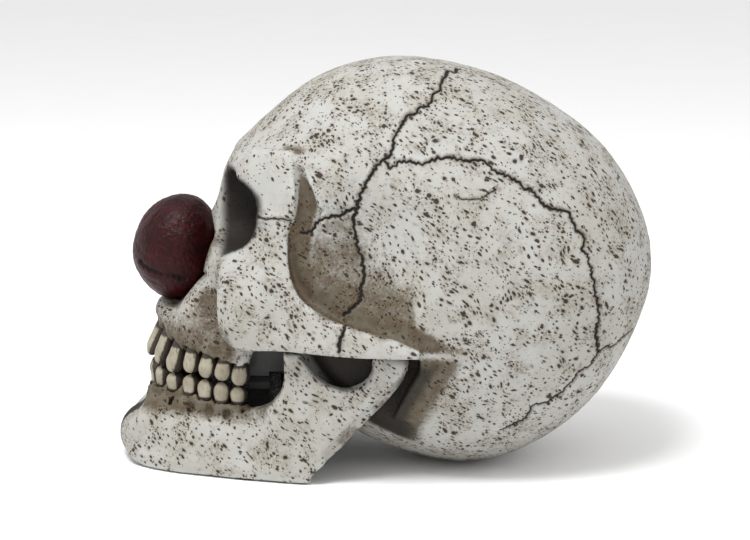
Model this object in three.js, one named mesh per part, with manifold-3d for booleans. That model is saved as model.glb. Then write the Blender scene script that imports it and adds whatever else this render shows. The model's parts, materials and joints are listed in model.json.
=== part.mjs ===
// A bubbling aquarium ornament: a hollow cast-resin skull with a red ball for a nose, resting on its jaw
// and on the back of its head. Air comes in at a swivelling elbow low on the right of the head, runs through
// a hose inside the skull to a stone under the palate, and gathers in an upturned cup there. The full cup
// lifts the face, the weighted jaw stays down on the gravel, and the air leaves through the teeth.
//
// Millimetres, +Z up, the face looks along -Y and the skull's own left is +X. The mid-plane is X = 0, and
// the ground is Z = 0. Each piece is a named mesh.
import * as THREE from "three";
import { mergeVertices } from "three/addons/utils/BufferGeometryUtils.js";
import Module from "manifold-3d";

// ---- Driving sizes ----
const SKULL_LENGTH = 152; // front of the chin to the back of the head
const SKULL_WIDTH = 94; // across the widest part of the brain case
const SKULL_HEIGHT = 115; // ground to crown
const WALL = 4.2; // cast shell of the brain case
const SIDE_WALL = 4.6; // shell beside the jaw, which also holds the hinge pins
const SOCKET_DEPTH = 15; // eye socket, from its rim
const PARTING = 0.6; // between the jaw and the skull where they come closest
const BITE_GAP = 0.4; // between the upper and lower teeth
const JAW_OPENING = 14; // degrees the jaw drops
const FIT_GAP = 0.1; // round pressed, bonded and screwed pieces
const SEAT_GAP = 0.3; // between pieces that sit on a turned or cut face

const TOOTH_WIDTH = 4.3; // of a back tooth, along the row
const TOOTH_DEPTH = 5.2; // cheek side to tongue side
const TOOTH_SQUARENESS = 0.55; // 0 is an ellipsoid, 1 a block
const UPPER_CROWN = 8;
const LOWER_CROWN = 6.4;
const TEETH_PER_SIDE = 7;

const NOSE_TALL = 15.2; // half height of the ball
const NOSE_DEEP = 12.6; // half depth of the ball, front to back
const NOSE_WIDE = 14.2; // half width of the ball
const DOWEL_RADIUS = 2.5;
const DOWEL_LENGTH = 17;

const PIN_RADIUS = 1.25;
const PIN_HEAD_RADIUS = 2.6;
const PIN_HEAD_THICK = 1.2;
const PIN_RUNNING = 0.09; // radial clearance of a pin in its bush
const BUSH_WALL = 1;
const BUSH_LENGTH = 4.2;
const CONDYLE_THICK = 7; // jaw at the hinge

const CUP_WALL = 1.6;
const CUP_HEIGHT = 14;
const CUP_CLEARANCE = 1.2; // cup to the inside of the tooth row
const CUP_SCREW_PITCH = 16; // between the two screws
const SCREW_RADIUS = 1.1;
const SCREW_HEAD_RADIUS = 2.1;
const SCREW_HEAD_THICK = 1.5;
const SCREW_BITE = 3.4; // screw in the palate

const STONE_RADIUS = 5.5;
const STONE_LENGTH = 20;
const STONE_CHAMFER = 0.8;
const STONE_DROP = 1.2; // stone below the rim of the cup
const NIPPLE_BITE = 3; // nipple in the stone
const NIPPLE_RADIUS = 2;
const HOSE_BORE = 2; // radius
const HOSE_WALL = 1;
const CLIP_WALL = 1.4;
const CLIP_WIDTH = 6;
const CLIP_STALK = 5; // how far its stalks reach up into the cup

const INLET_TURN = 45; // degrees the inlet points to the right of straight back
const INLET_DROP = 32; // degrees it points below the level
const SPOT_FACE_RADIUS = 8;
const SPOT_DEPTH = 2.4; // of the spot face, at its middle
const GROMMET_RADIUS = 5;
const GROMMET_LIP = 1.6; // how far its lips stand past the hole
const GROMMET_LIP_THICK = 1.4;
const ELBOW_RADIUS = 2.6; // body of the elbow
const ELBOW_BORE = 1;
const STOP_RADIUS = 3.6; // flange that the end of the airline butts on
const STOP_THICK = 1.2;
const BARB_RADIUS = 2.1;
const BARB_LENGTH = 11;
const BARB_HEIGHT = 0.65; // barbs over the root
const BARB_STARTS = [2.4, 5.2, 8]; // from the flange
const BARB_SLOPE = 2; // length of each barb

const WEIGHT_RADIUS = 3; // steel slugs in the jaw, over its pads
const WEIGHT_LENGTH = 9;
const PAD_RADIUS = 5;
const PAD_THICK = 1;
const PAD_PROUD = 0.4; // pads stand out of the castings by this

// ---- The sculpt's own proportions, at the sizes above ----
const SY = SKULL_LENGTH / 152;
const SX = SKULL_WIDTH / 94;
const SZ = SKULL_HEIGHT / 115;

// Brain case: a round body about CENTRE, whose side outline is a closed curve in polar form.
const CENTRE = { y: 17, z: 59 };
const HALF_WIDTH = 47;
const FULLNESS = 2.4; // superellipse power of its cross-sections
const BACKWARD_WIDENING = 0.12 / 60;
// [degrees up from straight back, radius]
const CASE_OUTLINE = [
  [0, 58.6], [30, 55], [58, 52], [85, 53.8], [108, 58.6], [128, 62.2], [142, 61.8], [157, 63],
  [180, 57], [210, 54], [245, 55.3], [262, 56.6], [280, 59.6], [310, 58.6], [335, 57.8],
];
const HINGE = { y: 3 * SY, z: 33.5 * SZ };
const BITE_Z = 26.3 * SZ; // plane where the teeth meet
const ARCH_UNDER_Z = 38.8 * SZ; // underside of the cheek bones
const POCKET_X = 33 * SX; // skull wall beside the jaw
const JAW_OUTER_X = POCKET_X + PARTING + CONDYLE_THICK; // outer face of the jaw at the hinge

const wasm = await Module();
wasm.setup();

// ---- Materials ----
const paint = (color, roughness, metalness = 0) =>
  new THREE.MeshStandardMaterial({ color, roughness, metalness });
const bone = paint(0xc9c4b4, 0.75);
const redResin = paint(0x4a0d16, 0.45);
const darkPlastic = paint(0x23211f, 0.5);
const clearSilicone = paint(0xc9cfc9, 0.35);
const blackRubber = paint(0x1c1c1c, 0.8);
const acetal = paint(0xe8e6df, 0.45);
const steel = paint(0xb8babb, 0.3, 0.9);
const mineral = paint(0x6f6d6a, 0.95);
const wood = paint(0xa98a5f, 0.7);

// ---- Solids: closed geometry to manifold-3d and back ----
function solid(geometry) {
  const bare = geometry.index ? geometry.toNonIndexed() : geometry.clone();
  bare.deleteAttribute("normal");
  bare.deleteAttribute("uv");
  const merged = mergeVertices(bare, 1e-4);
  return new wasm.Manifold(
    new wasm.Mesh({
      numProp: 3,
      vertProperties: merged.attributes.position.array,
      triVerts: new Uint32Array(merged.index.array),
    }),
  );
}

function geometryOf(made) {
  const mesh = made.getMesh();
  const points = new Float32Array(mesh.numVert * 3);
  for (let i = 0; i < mesh.numVert; i++) {
    points.set(mesh.vertProperties.subarray(i * mesh.numProp, i * mesh.numProp + 3), i * 3);
  }
  const geometry = new THREE.BufferGeometry()
    .setAttribute("position", new THREE.BufferAttribute(points, 3))
    .setIndex(new THREE.BufferAttribute(mesh.triVerts, 1))
    .toNonIndexed();
  geometry.computeVertexNormals();
  return geometry;
}

const joined = (...solids) => solids.reduce((all, one) => all.add(one));

// The same geometry on the skull's other side.
function mirrored(geometry) {
  const flat = geometry.index ? geometry.toNonIndexed() : geometry.clone();
  const at = flat.attributes.position;
  for (let i = 0; i < at.count; i += 3) {
    const corner = [0, 2, 1].map((k) => new THREE.Vector3().fromBufferAttribute(at, i + k));
    corner.forEach((p, k) => at.setXYZ(i + k, -p.x, p.y, p.z));
  }
  return flat;
}

const bothSides = (geometry) => solid(geometry).add(solid(mirrored(geometry)));

// ---- Shapes ----
const sculptSide = ([y, z]) => new THREE.Vector2(y * SY, z * SZ);
const sculptTop = ([x, y]) => new THREE.Vector2(x * SX, y * SY);

// A closed outline from runs of points. A run marked round is a smooth curve through its points.
function outline(runs, place) {
  const points = runs.flatMap(({ at, round }) => {
    const placed = at.map(place);
    return round ? new THREE.SplineCurve(placed).getPoints(round) : placed;
  });
  return new THREE.Shape(points);
}

// Extrudes a (Y, Z) outline across the skull, from x0 to x1.
function acrossSkull(shape, x0, x1) {
  const made = new THREE.ExtrudeGeometry(shape, { depth: x1 - x0, bevelEnabled: false });
  const turn = new THREE.Matrix4().makeBasis(
    new THREE.Vector3(0, 1, 0),
    new THREE.Vector3(0, 0, 1),
    new THREE.Vector3(1, 0, 0),
  );
  return made.applyMatrix4(turn).translate(x0, 0, 0);
}

// Extrudes an (X, Y) outline upwards, from z0 to z1.
function upwards(shape, z0, z1) {
  const made = new THREE.ExtrudeGeometry(shape, { depth: z1 - z0, bevelEnabled: false });
  return made.translate(0, 0, z0);
}

function block(x0, x1, y0, y1, z0, z1) {
  return new THREE.BoxGeometry(x1 - x0, y1 - y0, z1 - z0).translate(
    (x0 + x1) / 2,
    (y0 + y1) / 2,
    (z0 + z1) / 2,
  );
}

function ellipsoid(radii, centre, around = 20, rings = 14) {
  return new THREE.SphereGeometry(1, around, rings)
    .scale(radii.x, radii.y, radii.z)
    .translate(centre.x, centre.y, centre.z);
}

// A solid of revolution about a line from start along direction. The profile holds [radius, along] pairs.
function turned(profile, start, direction, around = 20) {
  const made = new THREE.LatheGeometry(
    profile.map(([radius, along]) => new THREE.Vector2(radius, along)),
    around,
  );
  const turn = new THREE.Quaternion().setFromUnitVectors(
    new THREE.Vector3(0, 1, 0),
    direction.clone().normalize(),
  );
  return made.applyQuaternion(turn).translate(start.x, start.y, start.z);
}

const rod = (radius, length) => [[0, 0], [radius, 0], [radius, length], [0, length]];
const pipe = (bore, outer, length) => [
  [bore, 0], [outer, 0], [outer, length], [bore, length], [bore, 0],
];

// ---- Brain case ----
const caseCurve = new THREE.CatmullRomCurve3(
  CASE_OUTLINE.map(([degrees, radius]) => {
    const a = THREE.MathUtils.degToRad(degrees);
    return new THREE.Vector3(radius * Math.cos(a), radius * Math.sin(a), 0);
  }),
  true,
  "centripetal",
);
const CASE_SAMPLES = caseCurve.getPoints(180).map((p) => ({
  angle: Math.atan2(p.y, p.x),
  radius: Math.hypot(p.x, p.y),
}));

// The side outline's radius at an angle, between the two nearest samples.
function caseRadius(angle) {
  const turn = 2 * Math.PI;
  const past = (sample) => (((sample.angle - angle) % turn) + turn) % turn;
  const after = CASE_SAMPLES.reduce((best, s) => (past(s) < past(best) ? s : best));
  const before = CASE_SAMPLES.reduce((best, s) => (past(s) > past(best) ? s : best));
  const gap = turn - past(before) + past(after);
  const share = (turn - past(before)) / gap;
  return before.radius + (after.radius - before.radius) * share;
}

// The brain case as a closed body, taken in by inset all round.
function caseBody(inset, around, rings) {
  const ball = new THREE.SphereGeometry(1, around, rings).rotateZ(-Math.PI / 2);
  const at = ball.attributes.position;
  for (let i = 0; i < at.count; i++) {
    const angle = Math.atan2(at.getZ(i), at.getY(i));
    const out = Math.hypot(at.getY(i), at.getZ(i)) ** (2 / FULLNESS);
    const side = Math.sign(at.getX(i)) * Math.abs(at.getX(i)) ** (2 / FULLNESS);
    const y = out * caseRadius(angle) * Math.cos(angle);
    const z = out * caseRadius(angle) * Math.sin(angle);
    const x = side * HALF_WIDTH * (1 + BACKWARD_WIDENING * y);
    const full = new THREE.Vector3(x * SX, y * SY, z * SZ);
    const shrunk = full.multiplyScalar(1 - inset / full.length());
    at.setXYZ(i, shrunk.x, shrunk.y + CENTRE.y * SY, shrunk.z + CENTRE.z * SZ);
  }
  return ball;
}

// ---- Face ----
const HALF_SPACE = 200; // larger than the skull

// Cheek bone, outer rim of the eye socket and cheek arch, in one outline from the side.
const CHEEK_SIDE = [
  { at: [[-41, 87], [-38, 77], [-38.8, 69], [-43, 64.5], [-47.5, 61]], round: 10 },
  { at: [[-49, 52], [-46, 44], [-41, 40]], round: 5 },
  { at: [[-40, 39], [-11, 38.4], [9, 37.6], [9, 40.6]] },
  { at: [[-1.4, 43.3], [-11.5, 46.8], [-18.6, 50.8], [-24.6, 56.6], [-27.2, 63.5],
    [-27.8, 70], [-26.4, 78], [-24.5, 88]], round: 12 },
];
// The same bones from above: outer face, then inner face.
const CHEEK_OUTER = [[9.4, 47.5], [0, 46.4], [-12, 44.2], [-26, 40.4], [-36, 36.6], [-44, 30.8], [-50, 22]];
const CHEEK_INNER = [[-50, 12], [-42, 22], [-36, 29.6], [-26, 34], [-12, 38.4], [0, 41], [9.4, 43]];
const CHEEK_LEAN = 0.13; // the upper part leans inwards

function cheekBones() {
  const side = acrossSkull(outline(CHEEK_SIDE, sculptSide), 0, HALF_SPACE);
  const swap = ([y, x]) => sculptTop([x, y]);
  const band = upwards(
    outline([{ at: CHEEK_OUTER, round: 14 }, { at: CHEEK_INNER, round: 14 }], swap),
    0,
    HALF_SPACE,
  );
  const lean = new THREE.Matrix4().set(
    1, 0, -CHEEK_LEAN, CHEEK_LEAN * ARCH_UNDER_Z,
    0, 1, 0, 0,
    0, 0, 1, 0,
    0, 0, 0, 1,
  );
  band.applyMatrix4(lean);
  const left = geometryOf(solid(side).intersect(solid(band)));
  return bothSides(left);
}

// Middle of the face: brow, nose bridge and cheeks down to the roots of the teeth.
const MID_FACE_SIDE = [
  { at: [[-38.5, 90], [-42.2, 85], [-44.4, 80], [-47, 72], [-50, 66]], round: 8 },
  { at: [[-51.5, 58], [-57, 48], [-62, 41], [-64.5, 35], [-64, 32]], round: 8 },
  { at: [[-39, 32], [-34, 42], [-14, 44], [-10, 80], [-20, 88]] },
];
const MID_FACE_TOP = [
  { at: [[0, -66], [9, -65], [16, -59], [22, -49], [27, -42], [33, -36], [36, -26], [34, -12]], round: 16 },
  { at: [[0, -6]] },
];
// Forehead over the eyes.
const BROW = { y: -15, z: 86, wide: 37.5, deep: 25.5, tall: 18 };

function brow() {
  const centre = { x: 0, y: BROW.y * SY, z: BROW.z * SZ };
  const radii = { x: BROW.wide * SX, y: BROW.deep * SY, z: BROW.tall * SZ };
  return solid(ellipsoid(radii, centre, 24, 16));
}

const MAXILLA_X = 22.5; // half width of the tooth-bearing part
const MAXILLA_TOP_Z = 47;

function midFace() {
  const half = upwards(outline(MID_FACE_TOP, sculptTop), 0, HALF_SPACE);
  const side = acrossSkull(outline(MID_FACE_SIDE, sculptSide), -HALF_SPACE, HALF_SPACE);
  const besideTeeth = block(
    MAXILLA_X * SX,
    HALF_SPACE,
    -HALF_SPACE,
    HALF_SPACE,
    -HALF_SPACE,
    MAXILLA_TOP_Z * SZ,
  );
  return bothSides(half).intersect(solid(side)).subtract(bothSides(besideTeeth));
}

// The pear-shaped hole that the nose ball covers, and the eye sockets.
const SOCKET = { x: 19.5, y: -42, z: 76 };
const SOCKET_HALF = { x: 13.2, z: 11 };

function sockets() {
  const centre = { x: SOCKET.x * SX, y: SOCKET.y * SY, z: SOCKET.z * SZ };
  const radii = { x: SOCKET_HALF.x * SX, y: SOCKET_DEPTH, z: SOCKET_HALF.z * SZ };
  return bothSides(ellipsoid(radii, centre, 18, 12));
}

const NOSE = { y: -59.7, z: 61 };
const APERTURE = { y: -50, z: 58, wide: 8.5, deep: 7.5, tall: 10 };

function noseAperture() {
  const centre = { x: 0, y: APERTURE.y * SY, z: APERTURE.z * SZ };
  const radii = { x: APERTURE.wide * SX, y: APERTURE.deep * SY, z: APERTURE.tall * SZ };
  return solid(ellipsoid(radii, centre, 14, 10));
}

const ballRadii = { x: NOSE_WIDE, y: NOSE_DEEP, z: NOSE_TALL };
const ballCentre = { x: 0, y: NOSE.y * SY, z: NOSE.z * SZ };
const grown = (radii, by) => ({ x: radii.x + by, y: radii.y + by, z: radii.z + by });
const dowelStart = new THREE.Vector3(0, ballCentre.y + NOSE_DEEP - DOWEL_LENGTH / 2, ballCentre.z);
const BACKWARDS = new THREE.Vector3(0, 1, 0);
const dowelHole = solid(
  turned(rod(DOWEL_RADIUS + FIT_GAP, DOWEL_LENGTH + 2 * FIT_GAP), dowelStart
    .clone()
    .setY(dowelStart.y - FIT_GAP), BACKWARDS, 16),
);

// ---- Teeth ----
// The tooth row from above, front to back, for one side.
const toothRow = new THREE.CatmullRomCurve3(
  [[2.4, -65.6], [8, -64], [13, -60], [16.8, -54.6], [19.2, -48], [20, -41]].map(
    ([x, y]) => new THREE.Vector3(x * SX, y * SY, 0),
  ),
);

// One side's teeth. grow is +1 for crowns that stand up from the gum and -1 for crowns that hang down.
function teeth(crown, biteZ, grow, setBack) {
  const overlap = 2.5; // root in the gum
  return Array.from({ length: TEETH_PER_SIDE }, (_, i) => {
    const u = i / (TEETH_PER_SIDE - 1);
    const at = toothRow.getPointAt(u);
    const along = toothRow.getTangentAt(u);
    const length = crown + overlap;
    const tooth = new THREE.SphereGeometry(1, 8, 6).rotateX(Math.PI / 2);
    const points = tooth.attributes.position;
    for (let k = 0; k < points.count; k++) {
      const p = new THREE.Vector3().fromBufferAttribute(points, k);
      const square = Math.max(Math.abs(p.x), Math.abs(p.y), Math.abs(p.z));
      p.multiplyScalar(TOOTH_SQUARENESS / square + 1 - TOOTH_SQUARENESS);
      points.setXYZ(k, p.x, p.y, p.z);
    }
    tooth.scale((TOOTH_WIDTH * SY) / 2, TOOTH_DEPTH / 2, length / 2);
    tooth.rotateZ(Math.atan2(along.y, along.x));
    const middle = biteZ - (grow * length) / 2;
    return tooth.translate(at.x, at.y + setBack, middle);
  });
}

// ---- Skull casting ----
// What has to stay open round the jaw as it drops: ahead of the back edge of the jaw turned to its limit.
const CONDYLE_RADIUS = 4.4;
const OPENING = THREE.MathUtils.degToRad(JAW_OPENING);

function jawPocket() {
  const swing = new THREE.Vector2(Math.cos(JAW_BACK_SLOPE + OPENING), Math.sin(JAW_BACK_SLOPE + OPENING));
  const behind = new THREE.Vector2(swing.y, -swing.x).multiplyScalar(CONDYLE_RADIUS + PARTING);
  const hinge = new THREE.Vector2(HINGE.y, HINGE.z).add(behind);
  const low = hinge.clone().addScaledVector(swing, -60 * SZ);
  const roof = ARCH_UNDER_Z - PARTING / 4;
  const high = new THREE.Vector2(Math.max(hinge.x, HINGE.y + CONDYLE_RADIUS + PARTING), roof);
  const side = new THREE.Shape([
    new THREE.Vector2(-45 * SY, -20),
    low,
    hinge,
    high,
    new THREE.Vector2(-45 * SY, roof),
  ]);
  return bothSides(acrossSkull(side, POCKET_X, HALF_SPACE));
}

// Air space in the brain case, kept clear of the eye sockets and of the wall beside the jaw.
const CAVITY_FRONT_Y = -17;

function cavity() {
  const room = solid(caseBody(WALL, 20, 14));
  const front = block(
    -HALF_SPACE, HALF_SPACE, -HALF_SPACE, CAVITY_FRONT_Y * SY, -HALF_SPACE, HALF_SPACE);
  const besideJaw = block(
    POCKET_X - SIDE_WALL, HALF_SPACE, -HALF_SPACE,
    HINGE.y + CONDYLE_RADIUS + SIDE_WALL + 4, -HALF_SPACE, ARCH_UNDER_Z + SIDE_WALL);
  return room.subtract(solid(front)).subtract(bothSides(besideJaw));
}

// The opening under the head, between the branches of the jaw.
const FORAMEN = { y: -14, z: 16, radius: 12 };
const foramenAxis = new THREE.Vector3(0, -0.62, -0.78);

function foramen() {
  const reach = 16 * SZ;
  const start = new THREE.Vector3(0, FORAMEN.y * SY, FORAMEN.z * SZ).addScaledVector(foramenAxis, -reach);
  return solid(turned(rod(FORAMEN.radius, 2 * reach), start, foramenAxis, 24));
}

// Air inlet: a spot face and a hole square to the brain case, on a line through its centre.
const inletTurn = THREE.MathUtils.degToRad(INLET_TURN);
const inletDrop = THREE.MathUtils.degToRad(INLET_DROP);
const inletAxis = new THREE.Vector3(
  -Math.sin(inletTurn) * Math.cos(inletDrop),
  Math.cos(inletTurn) * Math.cos(inletDrop),
  -Math.sin(inletDrop),
);

// Distance from the centre to the case's surface along the inlet, found by halving.
function inletReach() {
  const outside = (reach) => {
    const p = inletAxis.clone().multiplyScalar(reach);
    const y = p.y / SY;
    const z = p.z / SZ;
    const wide = HALF_WIDTH * (1 + BACKWARD_WIDENING * y) * SX;
    const out = Math.hypot(y, z) / caseRadius(Math.atan2(z, y));
    return (Math.abs(p.x) / wide) ** FULLNESS + out ** FULLNESS > 1;
  };
  let near = 0;
  let far = SKULL_LENGTH;
  while (far - near > 1e-4) {
    const middle = (near + far) / 2;
    if (outside(middle)) far = middle;
    else near = middle;
  }
  return near;
}

const inletSeat = new THREE.Vector3(0, CENTRE.y * SY, CENTRE.z * SZ).addScaledVector(
  inletAxis,
  inletReach() - SPOT_DEPTH,
);
const alongInlet = (distance) => inletSeat.clone().addScaledVector(inletAxis, distance);

function inletCuts() {
  const spot = turned(rod(SPOT_FACE_RADIUS, WALL), inletSeat, inletAxis, 24);
  const hole = turned(rod(GROMMET_RADIUS + SEAT_GAP, 4 * WALL), alongInlet(-2 * WALL), inletAxis, 24);
  const inside = turned(rod(SPOT_FACE_RADIUS, 2 * WALL), alongInlet(-3 * WALL), inletAxis, 24);
  return joined(solid(spot), solid(hole), solid(inside));
}

// A boss inside the case, so that the spot face keeps a full wall.
const inletBoss = () =>
  solid(turned(rod(SPOT_FACE_RADIUS + WALL, WALL + SPOT_DEPTH), alongInlet(-WALL), inletAxis, 24));

// ---- Air cup and its place under the palate ----
const CUP_FRONT_Y = -57 * SY;
const CUP_BACK_Y = -27 * SY;
const CUP_TOP_Z = BITE_Z + UPPER_CROWN + CUP_HEIGHT / 2;
const MOUTH_X = (MAXILLA_X - 2.3) * SX - TOOTH_DEPTH; // half width between the tooth rows
const CUP_X = MOUTH_X - CUP_CLEARANCE;

const cupShape = (inset) =>
  new THREE.Shape(
    new THREE.SplineCurve([
      new THREE.Vector2(CUP_X - inset, CUP_BACK_Y - inset),
      new THREE.Vector2(CUP_X - inset, CUP_BACK_Y - 10 * SY),
      new THREE.Vector2((CUP_X - inset) * 0.86, CUP_FRONT_Y + 9 * SY),
      new THREE.Vector2(0, CUP_FRONT_Y + inset),
      new THREE.Vector2(-(CUP_X - inset) * 0.86, CUP_FRONT_Y + 9 * SY),
      new THREE.Vector2(-(CUP_X - inset), CUP_BACK_Y - 10 * SY),
      new THREE.Vector2(-(CUP_X - inset), CUP_BACK_Y - inset),
    ]).getPoints(20),
  );

function mouthSpace() {
  return solid(upwards(cupShape(-CUP_CLEARANCE), 0, CUP_TOP_Z + SEAT_GAP)).add(
    solid(block(-CUP_X - CUP_CLEARANCE, CUP_X + CUP_CLEARANCE, CUP_BACK_Y - 1, CUP_BACK_Y + 5, 0,
      CUP_TOP_Z + SEAT_GAP)),
  );
}

const cupScrewPlaces = [-1, 1].map((side) =>
  new THREE.Vector3(0, (CUP_FRONT_Y + CUP_BACK_Y + side * CUP_SCREW_PITCH * SY) / 2, CUP_TOP_Z - CUP_WALL));
const UPWARDS = new THREE.Vector3(0, 0, 1);

function cupScrewHoles(clearance, length) {
  return joined(
    ...cupScrewPlaces.map((at) => solid(turned(rod(SCREW_RADIUS + clearance, length), at, UPWARDS, 12))),
  );
}

// ---- Hinge ----
const OUTWARDS = { left: new THREE.Vector3(1, 0, 0), right: new THREE.Vector3(-1, 0, 0) };
const PIN_HEAD_X = POCKET_X - SIDE_WALL;
const BUSH_START_X = POCKET_X + PARTING + 0.2;

const hingePoint = (x) => new THREE.Vector3(x, HINGE.y, HINGE.z);

const pinHole = turned(
  rod(PIN_RADIUS + FIT_GAP, SIDE_WALL + 2),
  hingePoint(PIN_HEAD_X - 1),
  OUTWARDS.left,
  20,
);

// ---- The pieces ----
const FLOOR = solid(block(-HALF_SPACE, HALF_SPACE, -HALF_SPACE, HALF_SPACE, -HALF_SPACE, PAD_PROUD));
const REAR_PAD = { x: 0, y: 21.5 * SY };
const JAW_PAD = { x: 25.5 * SX, y: -38 * SY };
const CHIN_PAD = { x: 0, y: -69 * SY };

function padRecess(place) {
  const start = new THREE.Vector3(place.x, place.y, -1);
  return turned(rod(PAD_RADIUS + FIT_GAP, PAD_THICK + 1 + FIT_GAP), start, UPWARDS, 20);
}

function skullCasting() {
  const head = solid(caseBody(0, 40, 26));
  const outside = joined(head, brow(), midFace(), cheekBones());
  const crowns = teeth(UPPER_CROWN, BITE_Z + BITE_GAP / 2, -1, 0).map(bothSides);
  const bossed = outside.subtract(cavity()).add(inletBoss().intersect(head));
  return bossed
    .subtract(sockets())
    .subtract(mouthSpace())
    .add(joined(...crowns))
    .subtract(jawPocket())
    .subtract(noseAperture())
    .subtract(solid(ellipsoid(grown(ballRadii, SEAT_GAP), ballCentre, 24, 16)))
    .subtract(dowelHole)
    .subtract(foramen())
    .subtract(inletCuts())
    .subtract(hosePassage())
    .subtract(bothSides(pinHole))
    .subtract(cupScrewHoles(FIT_GAP, CUP_WALL + SEAT_GAP + SCREW_BITE))
    .subtract(FLOOR)
    .subtract(solid(padRecess(REAR_PAD)));
}

// Jaw from the side.
const JAW_BACK_LOW = [-22.4, 0];
const JAW_BACK_HIGH = [6.4, 33];
const JAW_BACK_SLOPE = Math.atan2(
  (JAW_BACK_HIGH[1] - JAW_BACK_LOW[1]) * SZ,
  (JAW_BACK_HIGH[0] - JAW_BACK_LOW[0]) * SY,
);
const GUM_Z = 20;
const JAW_SIDE = [
  { at: [[-66.5, GUM_Z], [-69, 17], [-71.8, 13.5], [-75, 11], [-76, 7.5], [-74.5, 2.5], [-70, 0]],
    round: 14 },
  { at: [JAW_BACK_LOW, JAW_BACK_HIGH] },
  { at: [[7.4, 35.6], [5.6, 38], [1.5, 38.2], [-2.4, 36.4]], round: 6 },
  { at: [[-3.7, 33.6], [-7.2, 29.2], [-11.5, 27.1], [-17.2, 28.7], [-21.5, 32.2], [-24, 38]], round: 8 },
  { at: [[-29.3, 38], [-29.3, 26], [-31.5, 22.4], [-35.5, GUM_Z], [-41, GUM_Z - 0.5]], round: 9 },
];
// Jaw from above, outer face front to back, then inner face back to front.
const JAW_OUTER = [[0, -76.5], [8, -75.6], [15, -72], [22, -62], [28, -48], [33, -33], [37, -17]];
const JAW_INNER = [[23, -33], [16.5, -46], [11, -56], [6, -61.5], [0, -63]];

function jawBand() {
  const toOutline = (points) => points.map(([x, y]) => sculptTop([x, y]));
  const outerFace = new THREE.SplineCurve([
    ...toOutline(JAW_OUTER),
    new THREE.Vector2(JAW_OUTER_X, HINGE.y),
  ]).getPoints(16);
  const innerX = POCKET_X + PARTING;
  const innerFace = new THREE.SplineCurve([
    new THREE.Vector2(innerX, HINGE.y),
    new THREE.Vector2(innerX - 1.5, -17 * SY),
    ...toOutline(JAW_INNER),
  ]).getPoints(16);
  const back = HINGE.y + CONDYLE_RADIUS + PARTING / 4;
  return upwards(
    new THREE.Shape([
      ...outerFace,
      new THREE.Vector2(JAW_OUTER_X, back),
      new THREE.Vector2(innerX, back),
      ...innerFace,
    ]),
    0,
    HALF_SPACE,
  );
}

function jawCasting() {
  const side = solid(acrossSkull(outline(JAW_SIDE, sculptSide), -HALF_SPACE, HALF_SPACE));
  const roof = block(
    -HALF_SPACE, HALF_SPACE, -HALF_SPACE, HALF_SPACE, ARCH_UNDER_Z - 1.3 - PARTING / 2, HALF_SPACE);
  const crowns = teeth(LOWER_CROWN, BITE_Z - BITE_GAP / 2, 1, 1.6 * SY).map(bothSides);
  const bushHole = turned(
    rod(PIN_RADIUS + PIN_RUNNING + BUSH_WALL + FIT_GAP, BUSH_LENGTH + 2 * FIT_GAP + 0.6),
    hingePoint(POCKET_X + PARTING - 0.4),
    OUTWARDS.left,
    20,
  );
  return bothSides(jawBand())
    .intersect(side)
    .subtract(solid(roof))
    .add(joined(...crowns))
    .subtract(bothSides(bushHole))
    .subtract(FLOOR)
    .subtract(bothSides(padRecess(JAW_PAD)))
    .subtract(solid(padRecess(CHIN_PAD)))
    .subtract(bothSides(turned(
      rod(WEIGHT_RADIUS + FIT_GAP, WEIGHT_LENGTH + FIT_GAP + SEAT_GAP),
      new THREE.Vector3(JAW_PAD.x, JAW_PAD.y, PAD_THICK),
      UPWARDS,
      16,
    )));
}

const jawWeight = () =>
  turned(
    rod(WEIGHT_RADIUS, WEIGHT_LENGTH),
    new THREE.Vector3(JAW_PAD.x, JAW_PAD.y, PAD_THICK + SEAT_GAP),
    UPWARDS,
    16,
  );

function noseBall() {
  const ball = solid(ellipsoid(ballRadii, ballCentre, 24, 16));
  return ball.subtract(dowelHole);
}

const noseDowel = () => turned(rod(DOWEL_RADIUS, DOWEL_LENGTH), dowelStart, BACKWARDS, 16);

function hingePin(side) {
  const length = SIDE_WALL + PARTING + BUSH_LENGTH;
  const profile = [
    [0, -PIN_HEAD_THICK], [PIN_HEAD_RADIUS, -PIN_HEAD_THICK], [PIN_HEAD_RADIUS, -FIT_GAP],
    [PIN_RADIUS, -FIT_GAP], [PIN_RADIUS, length], [0, length],
  ];
  const left = turned(profile, hingePoint(PIN_HEAD_X), OUTWARDS.left, 20);
  return side === "left" ? left : mirrored(left);
}

function hingeBush(side) {
  const bore = PIN_RADIUS + PIN_RUNNING;
  const tube = pipe(bore, bore + BUSH_WALL, BUSH_LENGTH);
  const left = turned(tube, hingePoint(BUSH_START_X), OUTWARDS.left, 20);
  return side === "left" ? left : mirrored(left);
}

function airCup() {
  const outer = solid(upwards(cupShape(0), CUP_TOP_Z - CUP_HEIGHT, CUP_TOP_Z));
  const inner = solid(upwards(cupShape(CUP_WALL), CUP_TOP_Z - CUP_HEIGHT - 1, CUP_TOP_Z - CUP_WALL));
  return outer.subtract(inner).subtract(
    joined(...cupScrewPlaces.map((at) =>
      solid(turned(rod(SCREW_RADIUS + FIT_GAP, 2 * CUP_WALL), at.clone().setZ(at.z - 0.5), UPWARDS, 12)))),
  );
}

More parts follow.
